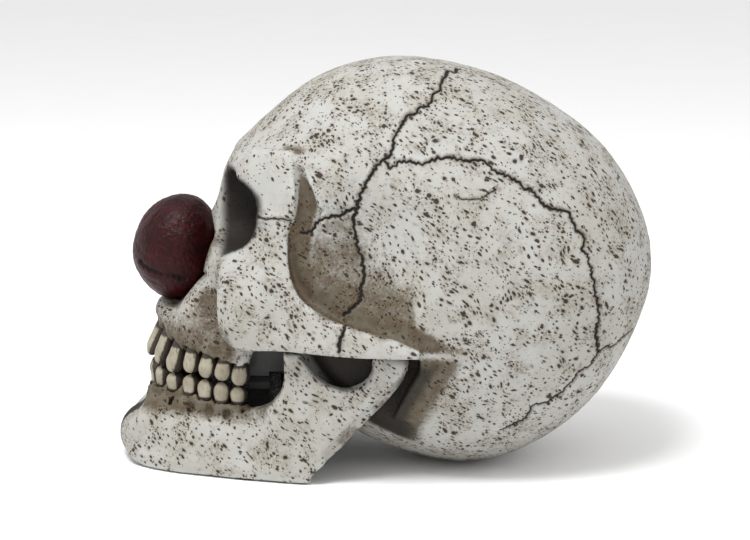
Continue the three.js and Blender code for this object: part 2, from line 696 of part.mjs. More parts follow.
function cupScrew(at) {
  const length = CUP_WALL + SEAT_GAP + SCREW_BITE - FIT_GAP;
  const profile = [
    [0, -SCREW_HEAD_THICK], [SCREW_HEAD_RADIUS * 0.7, -SCREW_HEAD_THICK],
    [SCREW_HEAD_RADIUS, -SCREW_HEAD_THICK * 0.6], [SCREW_HEAD_RADIUS, -FIT_GAP],
    [SCREW_RADIUS, -FIT_GAP], [SCREW_RADIUS, length], [0, length],
  ];
  const slot = block(
    at.x - SCREW_HEAD_RADIUS, at.x + SCREW_HEAD_RADIUS, at.y - 0.3, at.y + 0.3,
    at.z - SCREW_HEAD_THICK - 0.1, at.z - SCREW_HEAD_THICK * 0.55);
  return solid(turned(profile, at, UPWARDS, 12)).subtract(solid(slot));
}

// ---- Stone, its clip and the hose ----
const STONE_Z = CUP_TOP_Z - CUP_HEIGHT - STONE_RADIUS - STONE_DROP;
const STONE_FRONT_Y = CUP_FRONT_Y + 7 * SY;
const STONE_BACK_Y = STONE_FRONT_Y + STONE_LENGTH;
const NIPPLE_LENGTH = 8;
const COLLAR_END = 1; // the nipple's collar, on the stone's end face

const stoneBody = () =>
  turned(
    [[0, 0], [STONE_RADIUS - STONE_CHAMFER, 0], [STONE_RADIUS, STONE_CHAMFER],
      [STONE_RADIUS, STONE_LENGTH - STONE_CHAMFER], [STONE_RADIUS - STONE_CHAMFER, STONE_LENGTH],
      [0, STONE_LENGTH]],
    new THREE.Vector3(0, STONE_FRONT_Y, STONE_Z),
    BACKWARDS,
    20,
  );

function airStone() {
  const socket = turned(
    rod(NIPPLE_RADIUS + FIT_GAP, NIPPLE_BITE + 1),
    new THREE.Vector3(0, STONE_BACK_Y - NIPPLE_BITE - FIT_GAP, STONE_Z),
    BACKWARDS,
    16,
  );
  return solid(stoneBody()).subtract(solid(socket));
}

function stoneNipple() {
  const bore = 0.8;
  const collar = NIPPLE_RADIUS + 1.2;
  const spigot = HOSE_BORE - SEAT_GAP;
  const profile = [
    [bore, -NIPPLE_BITE], [NIPPLE_RADIUS, -NIPPLE_BITE], [NIPPLE_RADIUS, FIT_GAP], [collar, FIT_GAP],
    [collar, COLLAR_END], [spigot, COLLAR_END], [spigot, NIPPLE_LENGTH - 1.4],
    [spigot - 0.2, NIPPLE_LENGTH], [bore, NIPPLE_LENGTH], [bore, -NIPPLE_BITE],
  ];
  return turned(profile, new THREE.Vector3(0, STONE_BACK_Y, STONE_Z), BACKWARDS, 16);
}

// A springy ring that holds the stone, on a stalk bonded to the back of the cup.
function stoneClip() {
  const middle = STONE_BACK_Y - CLIP_WIDTH - NIPPLE_BITE;
  const ring = turned(
    pipe(STONE_RADIUS + FIT_GAP, STONE_RADIUS + CLIP_WALL, CLIP_WIDTH),
    new THREE.Vector3(0, middle, STONE_Z),
    BACKWARDS,
    24,
  );
  const mouth = block(-STONE_RADIUS * 0.7, STONE_RADIUS * 0.7, middle - 1, middle + CLIP_WIDTH + 1,
    STONE_Z - 2 * STONE_RADIUS, STONE_Z - STONE_RADIUS * 0.5);
  const top = CUP_TOP_Z - CUP_HEIGHT - SEAT_GAP;
  const armX = CUP_X - CUP_WALL;
  const bridge = block(-armX, armX, middle, middle + CLIP_WIDTH, top - CLIP_WALL, top);
  const stalks = [-1, 1].map((side) =>
    solid(block(
      Math.min(side * (armX - CLIP_WALL), side * armX), Math.max(side * (armX - CLIP_WALL), side * armX),
      middle, middle + CLIP_WIDTH, top - CLIP_WALL, top + CLIP_STALK)));
  const stoneRoom = turned(
    rod(STONE_RADIUS + FIT_GAP, STONE_LENGTH + 8),
    new THREE.Vector3(0, STONE_FRONT_Y - 4, STONE_Z),
    BACKWARDS,
    24,
  );
  const inside = solid(upwards(cupShape(CUP_WALL + SEAT_GAP), 0, HALF_SPACE));
  return solid(ring).subtract(solid(mouth)).add(joined(solid(bridge), ...stalks).intersect(inside))
    .subtract(solid(stoneRoom));
}

// The hose from the elbow to the stone, held at both ends.
const HOSE_STEPS = 26;
const HOSE_GRIP = 8; // straight ends of the hose, on the elbow and on the nipple
const HOSE_STIFFNESS = 26; // how far each end's direction carries into the bend
const HOSE_PASSAGE = 10; // length of the way kept clear past the palate
const SHOULDER = WALL + GROMMET_LIP_THICK + 2 * SEAT_GAP; // elbow's inner shoulder, in from the spot face
const ELBOW_INNER = SHOULDER + HOSE_GRIP;
const hoseStart = alongInlet(-SHOULDER - SEAT_GAP);
const hoseEnd = new THREE.Vector3(0, STONE_BACK_Y + COLLAR_END + SEAT_GAP, STONE_Z);
const hoseLeaves = alongInlet(-ELBOW_INNER - 1);
const hoseArrives = hoseEnd.clone().addScaledVector(BACKWARDS, HOSE_GRIP);
const hoseLine = new THREE.CurvePath();
hoseLine.add(new THREE.LineCurve3(hoseStart, hoseLeaves));
hoseLine.add(
  new THREE.CubicBezierCurve3(
    hoseLeaves,
    hoseLeaves.clone().addScaledVector(inletAxis, -HOSE_STIFFNESS),
    hoseArrives.clone().addScaledVector(BACKWARDS, HOSE_STIFFNESS),
    hoseArrives,
  ),
);
hoseLine.add(new THREE.LineCurve3(hoseArrives, hoseEnd));

// Where the hose passes the edge of the palate, on its way from the stone.
function hosePassage() {
  const way = rod(HOSE_BORE + HOSE_WALL + SEAT_GAP, HOSE_PASSAGE);
  return solid(turned(way, hoseArrives.clone().addScaledVector(BACKWARDS, -HOSE_GRIP / 2), BACKWARDS, 20));
}

function hose() {
  const ring = (radius) => new THREE.EllipseCurve(0, 0, radius, radius).getPoints(8).slice(0, 8);
  const section = new THREE.Shape(ring(HOSE_BORE + HOSE_WALL));
  section.holes.push(new THREE.Path(ring(HOSE_BORE)));
  return new THREE.ExtrudeGeometry(section, { steps: HOSE_STEPS, extrudePath: hoseLine });
}

// ---- Inlet ----
function grommet() {
  const bore = ELBOW_RADIUS + SEAT_GAP / 2;
  const lip = GROMMET_RADIUS + GROMMET_LIP;
  const inner = -WALL - SEAT_GAP;
  const profile = [
    [bore, inner - GROMMET_LIP_THICK], [lip, inner - GROMMET_LIP_THICK], [lip, inner],
    [GROMMET_RADIUS, inner], [GROMMET_RADIUS, SEAT_GAP], [lip, SEAT_GAP],
    [lip, SEAT_GAP + GROMMET_LIP_THICK], [bore, SEAT_GAP + GROMMET_LIP_THICK],
    [bore, inner - GROMMET_LIP_THICK],
  ];
  return turned(profile, inletSeat, inletAxis, 24);
}

const COLLAR = GROMMET_LIP_THICK + 2 * SEAT_GAP; // elbow's outer collar, out from the spot face
const COLLAR_THICK = 1.4;
const BEND = COLLAR + COLLAR_THICK + STOP_RADIUS + 0.4; // where the elbow bends up
const upTheHead = new THREE.Vector3(0, 0, 1).addScaledVector(inletAxis, -inletAxis.z).normalize();

function barbedArm() {
  const shoulder = ELBOW_RADIUS + 1.5;
  const root = BARB_RADIUS - 0.25;
  const profile = [
    [0, 0], [ELBOW_RADIUS, 0], [ELBOW_RADIUS, shoulder - STOP_THICK], [STOP_RADIUS, shoulder - STOP_THICK],
    [STOP_RADIUS, shoulder], [root, shoulder],
  ];
  for (const start of BARB_STARTS) {
    profile.push([root, shoulder + start], [root + BARB_HEIGHT, shoulder + start]);
    profile.push([root, shoulder + start + BARB_SLOPE]);
  }
  profile.push([root, shoulder + BARB_LENGTH], [0, shoulder + BARB_LENGTH]);
  const outside = solid(turned(profile, alongInlet(BEND), upTheHead, 12));
  const bore = solid(turned(rod(ELBOW_BORE, shoulder + BARB_LENGTH + 1), alongInlet(BEND), upTheHead, 8));
  return { outside, bore };
}

function elbow() {
  const spigot = HOSE_BORE - SEAT_GAP;
  const profile = [
    [0, -ELBOW_INNER], [spigot - 0.3, -ELBOW_INNER], [spigot, -ELBOW_INNER + 1.6], [spigot, -SHOULDER],
    [ELBOW_RADIUS, -SHOULDER], [ELBOW_RADIUS, COLLAR], [ELBOW_RADIUS + 2, COLLAR],
    [ELBOW_RADIUS + 2, COLLAR + COLLAR_THICK], [ELBOW_RADIUS, COLLAR + COLLAR_THICK],
    [ELBOW_RADIUS, BEND], [0, BEND],
  ];
  const shank = solid(turned(profile, inletSeat, inletAxis, 14));
  const corner = solid(
    ellipsoid({ x: ELBOW_RADIUS, y: ELBOW_RADIUS, z: ELBOW_RADIUS }, alongInlet(BEND), 12, 8));
  const bore = turned(rod(ELBOW_BORE, BEND + ELBOW_INNER + 1), alongInlet(-ELBOW_INNER - 1), inletAxis, 8);
  const arm = barbedArm();
  return joined(shank, corner, arm.outside).subtract(solid(bore)).subtract(arm.bore);
}

function pad(place) {
  return turned(rod(PAD_RADIUS, PAD_THICK), new THREE.Vector3(place.x, place.y, 0), UPWARDS, 20);
}

// ---- The object ----
const ornament = new THREE.Group();

function add(name, shape, material) {
  const geometry = shape.isBufferGeometry ? shape : geometryOf(shape);
  const mesh = new THREE.Mesh(geometry, material);
  mesh.name = name;
  ornament.add(mesh);
}

add("skull_casting", skullCasting(), bone);
add("jaw_casting", jawCasting(), bone);
add("nose_ball", noseBall(), redResin);
add("nose_dowel", noseDowel(), wood);
for (const side of ["left", "right"]) {
  add(`hinge_pin_${side}`, hingePin(side), steel);
  add(`hinge_bush_${side}`, hingeBush(side), acetal);
}
add("air_cup", airCup(), darkPlastic);
add("cup_screw_front", cupScrew(cupScrewPlaces[0]), steel);
add("cup_screw_back", cupScrew(cupScrewPlaces[1]), steel);
add("air_stone", airStone(), mineral);
add("stone_nipple", stoneNipple(), darkPlastic);
add("stone_clip", stoneClip(), darkPlastic);
add("air_hose", hose(), clearSilicone);
add("inlet_grommet", grommet(), blackRubber);
add("inlet_elbow", elbow(), darkPlastic);
add("rest_pad_rear", pad(REAR_PAD), blackRubber);
add("rest_pad_left", pad(JAW_PAD), blackRubber);
add("rest_pad_right", pad({ x: -JAW_PAD.x, y: JAW_PAD.y }), blackRubber);
add("rest_pad_chin", pad(CHIN_PAD), blackRubber);
add("jaw_weight_left", jawWeight(), steel);
add("jaw_weight_right", mirrored(jawWeight()), steel);

export default ornament;
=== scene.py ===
"""How the bubbling skull ornament looks: cast resin bone with cracks, pits and brown wash, a dark red nose
ball, and the fittings inside. The two castings are modelled in clay, as distances on a grid, and cast as
meshes. Clay work is in millimetres in the row frame: +Z up, face along -Y, the skull's own left at +X."""

import json
import math

import bmesh
import bpy
import numpy as np
import openvdb as vdb
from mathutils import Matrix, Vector


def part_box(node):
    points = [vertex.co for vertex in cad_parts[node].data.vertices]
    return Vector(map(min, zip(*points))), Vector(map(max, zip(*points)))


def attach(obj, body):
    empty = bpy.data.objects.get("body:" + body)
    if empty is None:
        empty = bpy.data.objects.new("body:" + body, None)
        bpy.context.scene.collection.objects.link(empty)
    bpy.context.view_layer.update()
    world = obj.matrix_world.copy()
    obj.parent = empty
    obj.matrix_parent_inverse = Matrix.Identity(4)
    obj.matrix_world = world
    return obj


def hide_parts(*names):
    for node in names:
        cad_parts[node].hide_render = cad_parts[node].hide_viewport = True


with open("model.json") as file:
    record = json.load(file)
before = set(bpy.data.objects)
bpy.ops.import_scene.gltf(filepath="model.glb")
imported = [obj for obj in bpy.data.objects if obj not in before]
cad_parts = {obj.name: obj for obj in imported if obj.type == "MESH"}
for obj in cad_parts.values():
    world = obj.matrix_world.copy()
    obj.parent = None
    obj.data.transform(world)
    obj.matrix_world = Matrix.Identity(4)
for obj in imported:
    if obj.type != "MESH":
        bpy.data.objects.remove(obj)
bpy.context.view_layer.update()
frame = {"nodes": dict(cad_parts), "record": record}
MM = 0.001
STEP = 0.75  # of the clay's grid
FAR_OFF = 20.0  # distance where there is no clay near


# ---------- Clay ----------
def smooth_min(a, b, blend):
    if blend <= 0:
        return np.minimum(a, b)
    share = np.clip(0.5 + 0.5 * (b - a) / blend, 0, 1)
    return b + (a - b) * share - blend * share * (1 - share)


def smooth_max(a, b, blend):
    return -smooth_min(-a, -b, blend)


class Form:
    """A shape as a signed distance from x, y and z, with the box that holds it."""

    def __init__(self, distance, low, high):
        self.distance, self.low, self.high = distance, low, high


def ellipsoid(centre, radii, power=2.0):
    def distance(x, y, z):
        parts = [abs((v - c) / r) for v, c, r in zip((x, y, z), centre, radii)]
        reach = sum(p**power for p in parts) ** (1 / power)
        slope = np.sqrt(sum((p / r) ** 2 for p, r in zip(parts, radii)))
        return (reach - 1) * reach / np.maximum(slope, 1e-5)

    return Form(distance, np.subtract(centre, radii), np.add(centre, radii))


def strand(*points):
    """A chain of round bars through points of x, y, z and radius."""
    points = np.array(points, np.float32)

    def distance(x, y, z):
        bars = []
        for a, b in zip(points, points[1:]):
            way = b[:3] - a[:3]
            gaps = [v - s for v, s in zip((x, y, z), a)]
            share = np.clip(sum(g * w for g, w in zip(gaps, way)) / (way @ way), 0, 1)
            off = np.sqrt(sum((g - share * w) ** 2 for g, w in zip(gaps, way)))
            bars.append(off - (a[3] + share * (b[3] - a[3])))
        return np.minimum.reduce(bars)

    thick = points[:, 3].max()
    return Form(distance, points[:, :3].min(0) - thick, points[:, :3].max(0) + thick)


def rod(start, end, radius):
    """A round bar with flat ends."""
    start, end = np.array(start, np.float32), np.array(end, np.float32)
    length = np.linalg.norm(end - start)
    way = (end - start) / length

    def distance(x, y, z):
        gaps = [v - s for v, s in zip((x, y, z), start)]
        along = sum(g * w for g, w in zip(gaps, way))
        off = np.sqrt(np.maximum(sum(g * g for g in gaps) - along**2, 0))
        return np.maximum(off - radius, np.maximum(-along, along - length))

    return Form(distance, np.minimum(start, end) - radius, np.maximum(start, end) + radius)


class Clay:
    """Modelled on the skull's left half first, then mirrored."""

    def __init__(self, low, high):
        self.axes = [STEP * np.arange(round(a / STEP), round(b / STEP), dtype=np.float32)
                     for a, b in zip(low, high)]
        self.field = np.full([len(axis) for axis in self.axes], FAR_OFF, np.float32)

    def part(self, form, margin):
        ends = [np.searchsorted(axis, [a - margin, b + margin])
                for axis, a, b in zip(self.axes, form.low, form.high)]
        cuts = tuple(slice(*pair) for pair in ends)
        x, y, z = (axis[cut] for axis, cut in zip(self.axes, cuts))
        return cuts, form.distance(x[:, None, None], y[None, :, None], z[None, None, :])

    def add(self, form, blend=0.0):
        cuts, distance = self.part(form, blend + 3)
        self.field[cuts] = smooth_min(self.field[cuts], distance, blend)

    def cut(self, form, blend=0.0):
        cuts, distance = self.part(form, blend + 3)
        self.field[cuts] = smooth_max(self.field[cuts], -distance, blend)

    def mirror(self):
        self.axes[0] = np.concatenate([-self.axes[0][:0:-1], self.axes[0]])
        self.field = np.concatenate([self.field[:0:-1], self.field])

    def corner(self):
        return np.array([axis[0] for axis in self.axes], float)

    def cast(self):
        """The surface's points in mm, and its faces."""
        grid = vdb.FloatGrid(FAR_OFF)
        grid.copyFromArray(np.ascontiguousarray(self.field))
        points, triangles, quads = grid.convertToPolygons(0.0)
        return points.astype(float) * STEP + self.corner(), triangles, quads

    def sample(self, points, field=None):
        """The field, or another on the same grid, at points in mm."""
        field = self.field if field is None else field
        place = (points - self.corner()) / STEP
        base = np.clip(np.floor(place).astype(int), 0, np.array(field.shape) - 2)
        part = np.clip(place - base, 0, 1)
        total = 0
        for corner in np.ndindex(2, 2, 2):
            weight = np.prod(np.where(corner, part, 1 - part), axis=1)
            total = total + weight * field[tuple((base + corner).T)]
        return total

    def crowding(self, reach):
        """How much clay is within reach of each grid point: half at a flat surface, more in a hollow."""
        solid = np.clip(0.5 - self.field / STEP, 0, 1)
        width = max(1, round(reach / STEP))
        for axis in range(3):
            room = [(width + 1, width) if i == axis else (0, 0) for i in range(3)]
            total = np.cumsum(np.pad(solid, room), axis, dtype=np.float32)
            size = solid.shape[axis]
            upper = total.take(range(2 * width + 1, 2 * width + 1 + size), axis)
            solid = (upper - total.take(range(size), axis)) / (2 * width + 1)
        return solid


# ---------- Lines and outlines ----------
def flow(points, steps=6):
    """A smooth line through points of any dimension."""
    points = np.array(points, float)
    ends = np.concatenate([[2 * points[0] - points[1]], points, [2 * points[-1] - points[-2]]])
    line = []
    for a, b, c, d in zip(ends, ends[1:], ends[2:], ends[3:]):
        for t in np.arange(steps) / steps:
            square, cube = 2 * a - 5 * b + 4 * c - d, 3 * b - a - 3 * c + d
            line.append(b + 0.5 * ((c - a) * t + square * t**2 + cube * t**3))
    return np.array(line + [points[-1]])


def outline_distance(outline, u, v):
    """Signed distance to a closed outline, on the grid of u by v."""
    u, v = u.reshape(-1, 1), v.reshape(1, -1)
    nearest = np.full((u.size, v.size), 1e9)
    inside = np.zeros(nearest.shape, bool)
    for (au, av), (bu, bv) in zip(outline, np.roll(outline, -1, axis=0)):
        du, dv = bu - au, bv - av
        share = np.clip(((u - au) * du + (v - av) * dv) / max(du * du + dv * dv, 1e-9), 0, 1)
        nearest = np.minimum(nearest, (u - au - share * du) ** 2 + (v - av - share * dv) ** 2)
        if abs(dv) > 1e-9:
            inside ^= ((av > v) != (bv > v)) & (u < au + (v - av) * du / dv)
    return (np.where(inside, -1, 1) * np.sqrt(nearest)).astype(np.float32)


def ease(value, start, end):
    """0 at start, 1 at end, smooth between."""
    share = np.clip((value - start) / (end - start), 0, 1)
    return share * share * (3 - 2 * share)


def side_slab(outline, inner, outer, rounding):
    """What is inside an outline seen from the side, in y and z, between two faces that give x."""

    def distance(x, y, z):
        side = outline_distance(outline, y, z)[None]
        faces = smooth_max(x - outer(y, z), inner(y, z) - x, rounding)
        return smooth_max(side, faces, rounding)

    (y0, z0), (y1, z1) = outline.min(0), outline.max(0)
    return Form(distance, (0, y0, z0), (50, y1, z1))


# ---------- The brain case ----------
CENTRE_Y, CENTRE_Z = 17.0, 59.0
CASE_HALF_WIDTH, CASE_WIDENING = 47, 0.002  # and how much wider it grows for each mm back
CASE_FULLNESS = 2.4  # superellipse power of its cross-sections
CASE_OUTLINE = np.array([
    (0, 58.6), (30, 55), (58, 52), (85, 53.8), (108, 58.6), (128, 62.2), (142, 61.8), (157, 63),
    (180, 57), (210, 54), (245, 56.4), (262, 57.6), (280, 59.7), (310, 58.6), (335, 57.8),
])  # degrees up from straight back, and radius
CASE_TURN = flow(np.concatenate([CASE_OUTLINE + [t, 0] for t in (-360, 0, 360)]))


def case_distance(x, y, z):
    dy, dz = y - CENTRE_Y, z - CENTRE_Z
    turn = np.degrees(np.arctan2(dz, dy)) % 360
    out = np.hypot(dy, dz) / np.interp(turn, *CASE_TURN.T).astype(np.float32)
    side = abs(x) / (CASE_HALF_WIDTH * (1 + CASE_WIDENING * dy))
    reach = (side**CASE_FULLNESS + out**CASE_FULLNESS) ** (1 / CASE_FULLNESS)
    return np.sqrt(x * x + dy * dy + dz * dz) * (1 - 1 / np.maximum(reach, 0.02))


# ---------- Teeth ----------
# neck x, y, z, tip x, y, z, width along the row, depth
UPPER_TEETH = [
    (3.0, -63.4, 38.6, 3.0, -67.6, 29.6, 5.6, 4.0), (8.3, -61.2, 37.4, 8.5, -64.6, 28.2, 4.9, 4.2),
    (13.2, -57.8, 35.0, 13.5, -60.4, 26.9, 4.9, 4.6), (16.9, -53.6, 34.4, 17.2, -54.8, 27.6, 4.6, 5.0),
    (19.6, -49.2, 33.6, 19.8, -50.2, 26.8, 4.7, 5.2), (21.2, -44.8, 32.4, 21.4, -45.6, 26.4, 4.7, 5.2),
    (22.0, -40.4, 31.4, 22.1, -40.8, 25.2, 4.7, 5.2),
]
LOWER_TEETH = [
    (2.6, -65.2, 21.6, 2.6, -66.2, 28.2, 4.4, 3.8), (7.2, -63.2, 21.6, 7.4, -63.8, 27.6, 4.4, 3.9),
    (12.0, -59.4, 21.6, 12.3, -59.8, 26.8, 4.5, 4.4), (15.9, -54.6, 21.6, 16.1, -54.8, 27.0, 4.5, 4.8),
    (18.5, -50.2, 20.8, 18.7, -50.4, 26.4, 4.6, 4.9), (20.1, -45.7, 20.2, 20.3, -45.8, 26.0, 4.6, 5.0),
    (20.9, -41.2, 20.2, 21.1, -41.2, 24.9, 4.5, 5.0),
]


def rows(teeth):
    """Each tooth of one side, with its neck, its tip, and the ways along the row and out to the cheek."""
    middles = np.array([[-teeth[0][0], teeth[0][1]]] + [t[:2] for t in teeth])
    middles = np.concatenate([middles, [2 * middles[-1] - middles[-2]]])
    for before, after, tooth in zip(middles, middles[2:], teeth):
        along = np.append((after - before) / np.linalg.norm(after - before), 0)
        out = np.array([along[1], -along[0], 0])
        yield np.array(tooth[:3]), np.array(tooth[3:6]), tooth[6:], along, out


# ---------- The skull casting ----------
# Outlines are y and z, from the side, unless said otherwise.
EYE_RIM = [(-41.2, 84.4), (-38.6, 81), (-37.2, 77), (-36.6, 72.6), (-37.6, 68.8), (-39.6, 66), (-43.2, 63.6),
           (-46, 61.7), (-48.6, 58.9)]
CHANNEL_RIM = [(9.4, 40.4), (5.8, 42), (0.4, 44), (-6.2, 45.6), (-12.8, 47.4), (-18.4, 50.2),
               (-22.8, 53.2), (-25.3, 57.4), (-26.2, 61.7), (-26.4, 67.6), (-26, 73), (-24.8, 77.6),
               (-24.4, 82), (-24.8, 88)]
CHANNEL_WIDTHS = (1.4, 2.0, 2.7, 3.4, 4.2, 4.9, 5.2, 5.4, 5.4, 5.2, 4.6, 3.8, 2.8, 1.4)
CHEEK_SIDE = np.concatenate([
    flow([(-36, 93), (-40, 88)] + EYE_RIM),
    flow([(-48.2, 56.5), (-46.8, 52), (-46.2, 47.6), (-45.4, 44), (-42.8, 41.4), (-38.9, 39.6)]),
    flow([(-29, 38.6), (-13.6, 38.1), (-1.8, 37.9), (9.0, 38.1)]),
    flow(CHANNEL_RIM), [(-25.4, 93)],
])
# y and x, from above, at the foot of the cheek plate
CHEEK_OUTER = flow([(-52, 16), (-49, 24), (-44, 31), (-36, 36.8), (-26, 40.6), (-12, 44.4), (0, 46.6),
                    (9.5, 47.7)])
CHEEK_INNER = flow([(-52, 4), (-46, 12), (-40, 22), (-36, 28), (-26, 33.6), (-12, 39), (0, 41.8),
                    (9.5, 43.4)])
OUTER_LEAN, INNER_LEAN = 0.13, 0.10  # how much nearer the middle for each mm up
JAW_SWING = np.array([(-48, -9), (-9, -9), (-3.6, 4), (2.2, 19), (6.0, 27), (9.4, 33.5), (9.4, 37.6),
                      (-48, 38.6)])
SKULL_WALL_X = 33.0  # beside the jaw
WALL = 4.2  # of the brain case
MEETING_Z = 39  # the cheek plate leans inwards above this
TOOTH_SPARE = 0.35  # round a tooth, in the gum
PAD_HOLE = 5.1  # radius of the recess for a foot pad
PAD_ROOF = 1.1  # top of that recess
GROUND = 0.4  # the castings stand on their pads, this far up
BALL = ellipsoid((0, -59.7, 61), (14.5, 12.9, 15.5))
TEMPLE = ellipsoid((59, -7, 66), (21.5, 19, 24))
SOCKET = ellipsoid((18.6, -43.5, 74.4), (13.4, 21, 10.8), 2.6)
INLET_SEAT = np.array([-33.479, 50.479, 29.415])
INLET_WAY = np.array([-0.59966, 0.59966, -0.52992])


def leaning(curve, lean):
    """A face that leans in above the cheek's foot, and a little faster over the eyes."""
    def face(y, z):
        turn_in = 0.0012 * np.maximum(z - 70, 0) ** 2
        return np.interp(y, *curve.T) - lean * np.maximum(z - MEETING_Z, 0) - turn_in

    return face


def model_face(clay):
    clay.add(ellipsoid((0, -15, 84), (37.5, 25.5, 17.0)), 10)  # forehead
    clay.cut(TEMPLE, 9)
    brow = strand((0, -38.4, 82.5, 5), (10, -38.4, 85, 4.6), (20, -37.0, 86, 4.2), (28, -33.6, 86, 3.6))
    clay.add(brow, 6)
    clay.add(ellipsoid((0, -34, 61), (28, 14, 24), 2.6), 5)
    clay.add(ellipsoid((0, -46, 43.5), (20.6, 15, 13.5), 2.6), 4)  # upper jaw
    clay.add(strand((0, -40, 80, 5), (0, -42.4, 74, 4.4), (0, -45.8, 69, 4.2), (0, -49, 63, 4)), 3.5)  # nose
    clay.add(strand((6, -40, 79, 4), (9.5, -42.6, 68, 4.4), (13.5, -44.6, 58, 5), (17, -45, 50, 5.5)), 4)
    clay.add(strand((13, -44.5, 58, 4), (20, -43, 57.4, 4.5), (28, -39.6, 58.4, 5)), 5)  # under the eye


def channel_line():
    """The channel behind the plate's rim, as x, y, z and radius."""
    rim = flow(CHANNEL_RIM, 2)
    way = np.gradient(rim, axis=0)
    behind = np.column_stack([way[:, 1], -way[:, 0]]) / np.linalg.norm(way, axis=1)[:, None]
    radius = np.interp(np.linspace(0, 1, len(rim)), np.linspace(0, 1, len(CHANNEL_WIDTHS)), CHANNEL_WIDTHS)
    middle = rim + behind * 0.877 * radius[:, None]
    x = leaning(CHEEK_OUTER, OUTER_LEAN)(*rim.T) + 0.48 * radius
    return np.column_stack([x, middle, radius])


def model_cheek(clay):
    plate = side_slab(CHEEK_SIDE, leaning(CHEEK_INNER, INNER_LEAN), leaning(CHEEK_OUTER, OUTER_LEAN), 2.0)
    clay.add(plate, 2.0)
    clay.add(ellipsoid((31, -37, 50), (8.0, 10, 12)), 6)
    clay.cut(strand(*channel_line()), 0.6)


def model_sockets(clay):
    clay.cut(SOCKET, 1.4)
    clay.cut(ellipsoid((15, -31, 73), (8, 11, 7)), 3)
    clay.cut(ellipsoid((0, -55, 57.5), (8.6, 11, 11), 2.3), 1.5)
    clay.cut(ellipsoid((27.0, -52, 50), (6.4, 8.4, 8.5)), 3)  # hollow of the cheek over the roots
    top, foot = np.array([-57.6, 47.0]), np.array([-66.0, 35.6])  # slope from the nose down to the teeth
    ny, nz = (foot - top)[1], -(foot - top)[0]
    size = math.hypot(ny, nz)
    ahead = Form(lambda x, y, z: 0 * x - ((y - top[0]) * ny + (z - top[1]) * nz) / size,
                 (0, -76, 31), (20, -54, 50))
    clay.cut(ahead, 3)


def gum_bar(teeth, back, rise, radius):
    """The gum behind a row of teeth."""
    places = [neck - out * back + [0, 0, rise] for neck, _, _, _, out in rows(teeth)]
    return strand(*[np.append(place, radius) for place in [places[0] * [0, 1, 1]] + places])


def model_roots(clay, teeth, slope, length):
    """A ridge in the gum over each tooth's root."""
    for neck, tip, (width, depth), _, out in rows(teeth):
        grow = np.sign(neck - tip)[2]
        base = neck + out * (0.24 * depth) + [0, 0, 0.6 * grow]
        end = neck + out * (0.1 * depth) + [0, slope * length, grow * length]
        clay.add(strand(np.append(base, 0.36 * width), np.append(end, 0.2 * width)), 2.2)


def under(height, low, high):
    """All that is lower than a level, in a box."""
    return Form(lambda x, y, z: z - height + 0 * x + 0 * y, low, high)


def pad_recess(x, y):
    return rod((x, y, -3), (x, y, PAD_ROOF), PAD_HOLE)


def tooth_socket(neck, tip, width, depth, along, out, spare):
    """The tooth's own shape as clay, a little larger."""
    way = tip - neck
    length = np.linalg.norm(way)
    way = way / length
    middle = neck + way * length * 0.42
    half = np.array([width / 2 + spare, depth / 2 + spare, length * 0.58 + spare])

    def distance(x, y, z):
        gaps = [v - m for v, m in zip((x, y, z), middle)]
        parts = [abs(sum(g * a for g, a in zip(gaps, axis))) / h for axis, h in zip((along, out, way), half)]
        reach = sum(p**3 for p in parts) ** (1 / 3)
        return (reach - 1) * half.min()

    size = np.full(3, half.max() + 1)
    return Form(distance, middle - size, middle + size)


def mouth_distance(x, y, z):
    """The room between the teeth, up to the palate."""
    plan = ((x / 15.1) ** 2.2 + (np.maximum(-33 - y, 0) / 25.2) ** 2.2) ** (1 / 2.2)
    return np.maximum(np.maximum((plan - 1) * 14, z - 41.6), y + 22)


def hollow_distance(x, y, z):
    """The air space in the brain case, clear of the wall beside the jaw and of the temple."""
    beside_jaw = np.maximum(np.maximum(28.4 - x, y - 16), z - 43.4)
    room = np.maximum(case_distance(x, y, z) + WALL, -17 - y)
    return np.maximum(np.maximum(room, -beside_jaw), 5 - TEMPLE.distance(x, y, z))


def model_inlet(clay):
    """The boss, the spot face and the hole for the air inlet's grommet."""
    def along(distance):
        return INLET_SEAT + distance * INLET_WAY

    boss = rod(along(-WALL), along(1.2), 12.2)
    clay.add(Form(lambda x, y, z: np.maximum(boss.distance(x, y, z), case_distance(x, y, z)),
                  boss.low, boss.high))
    clay.cut(rod(along(0), along(9), 8), 0.5)
    clay.cut(rod(along(-9), along(4), 5.3))
    clay.cut(rod(along(-12), along(-WALL), 8))


def model_skull():
    clay = Clay((0, -76, -3), (53, 79, 121))
    clay.add(Form(case_distance, (0, -48, -2), (50, 78, 119)))
    model_face(clay)
    model_cheek(clay)
    model_sockets(clay)
    clay.add(gum_bar(UPPER_TEETH, 0.6, 4.6, 3.0), 2.5)
    clay.add(gum_bar(UPPER_TEETH, 0.2, 1.0, 2.3), 1.5)
    model_roots(clay, UPPER_TEETH, 0.55, 7.5)
    for neck, tip, (width, depth), along, out in rows(UPPER_TEETH):
        clay.cut(tooth_socket(neck, tip, width, depth, along, out, TOOTH_SPARE), 0.3)
    clay.cut(Form(mouth_distance, (0, -60, 10), (16, -22, 42)), 0.6)
    clay.cut(Form(hollow_distance, (0, -17, 0), (50, 76, 116)))
    clay.cut(side_slab(JAW_SWING, lambda y, z: SKULL_WALL_X, lambda y, z: 80, 0.0), 0.5)
    clay.mirror()
    way = np.array([0, -0.62, -0.78])
    hole = np.array([0, -14, 16])
    clay.cut(rod(hole - 16 * way, hole + 16 * way, 12), 0.8)  # opening under the head
    clay.cut(BALL)
    model_inlet(clay)
    clay.cut(pad_recess(0, 21.5))
    clay.cut(under(GROUND, (-50, -76, -3), (50, 79, GROUND)))
    return clay


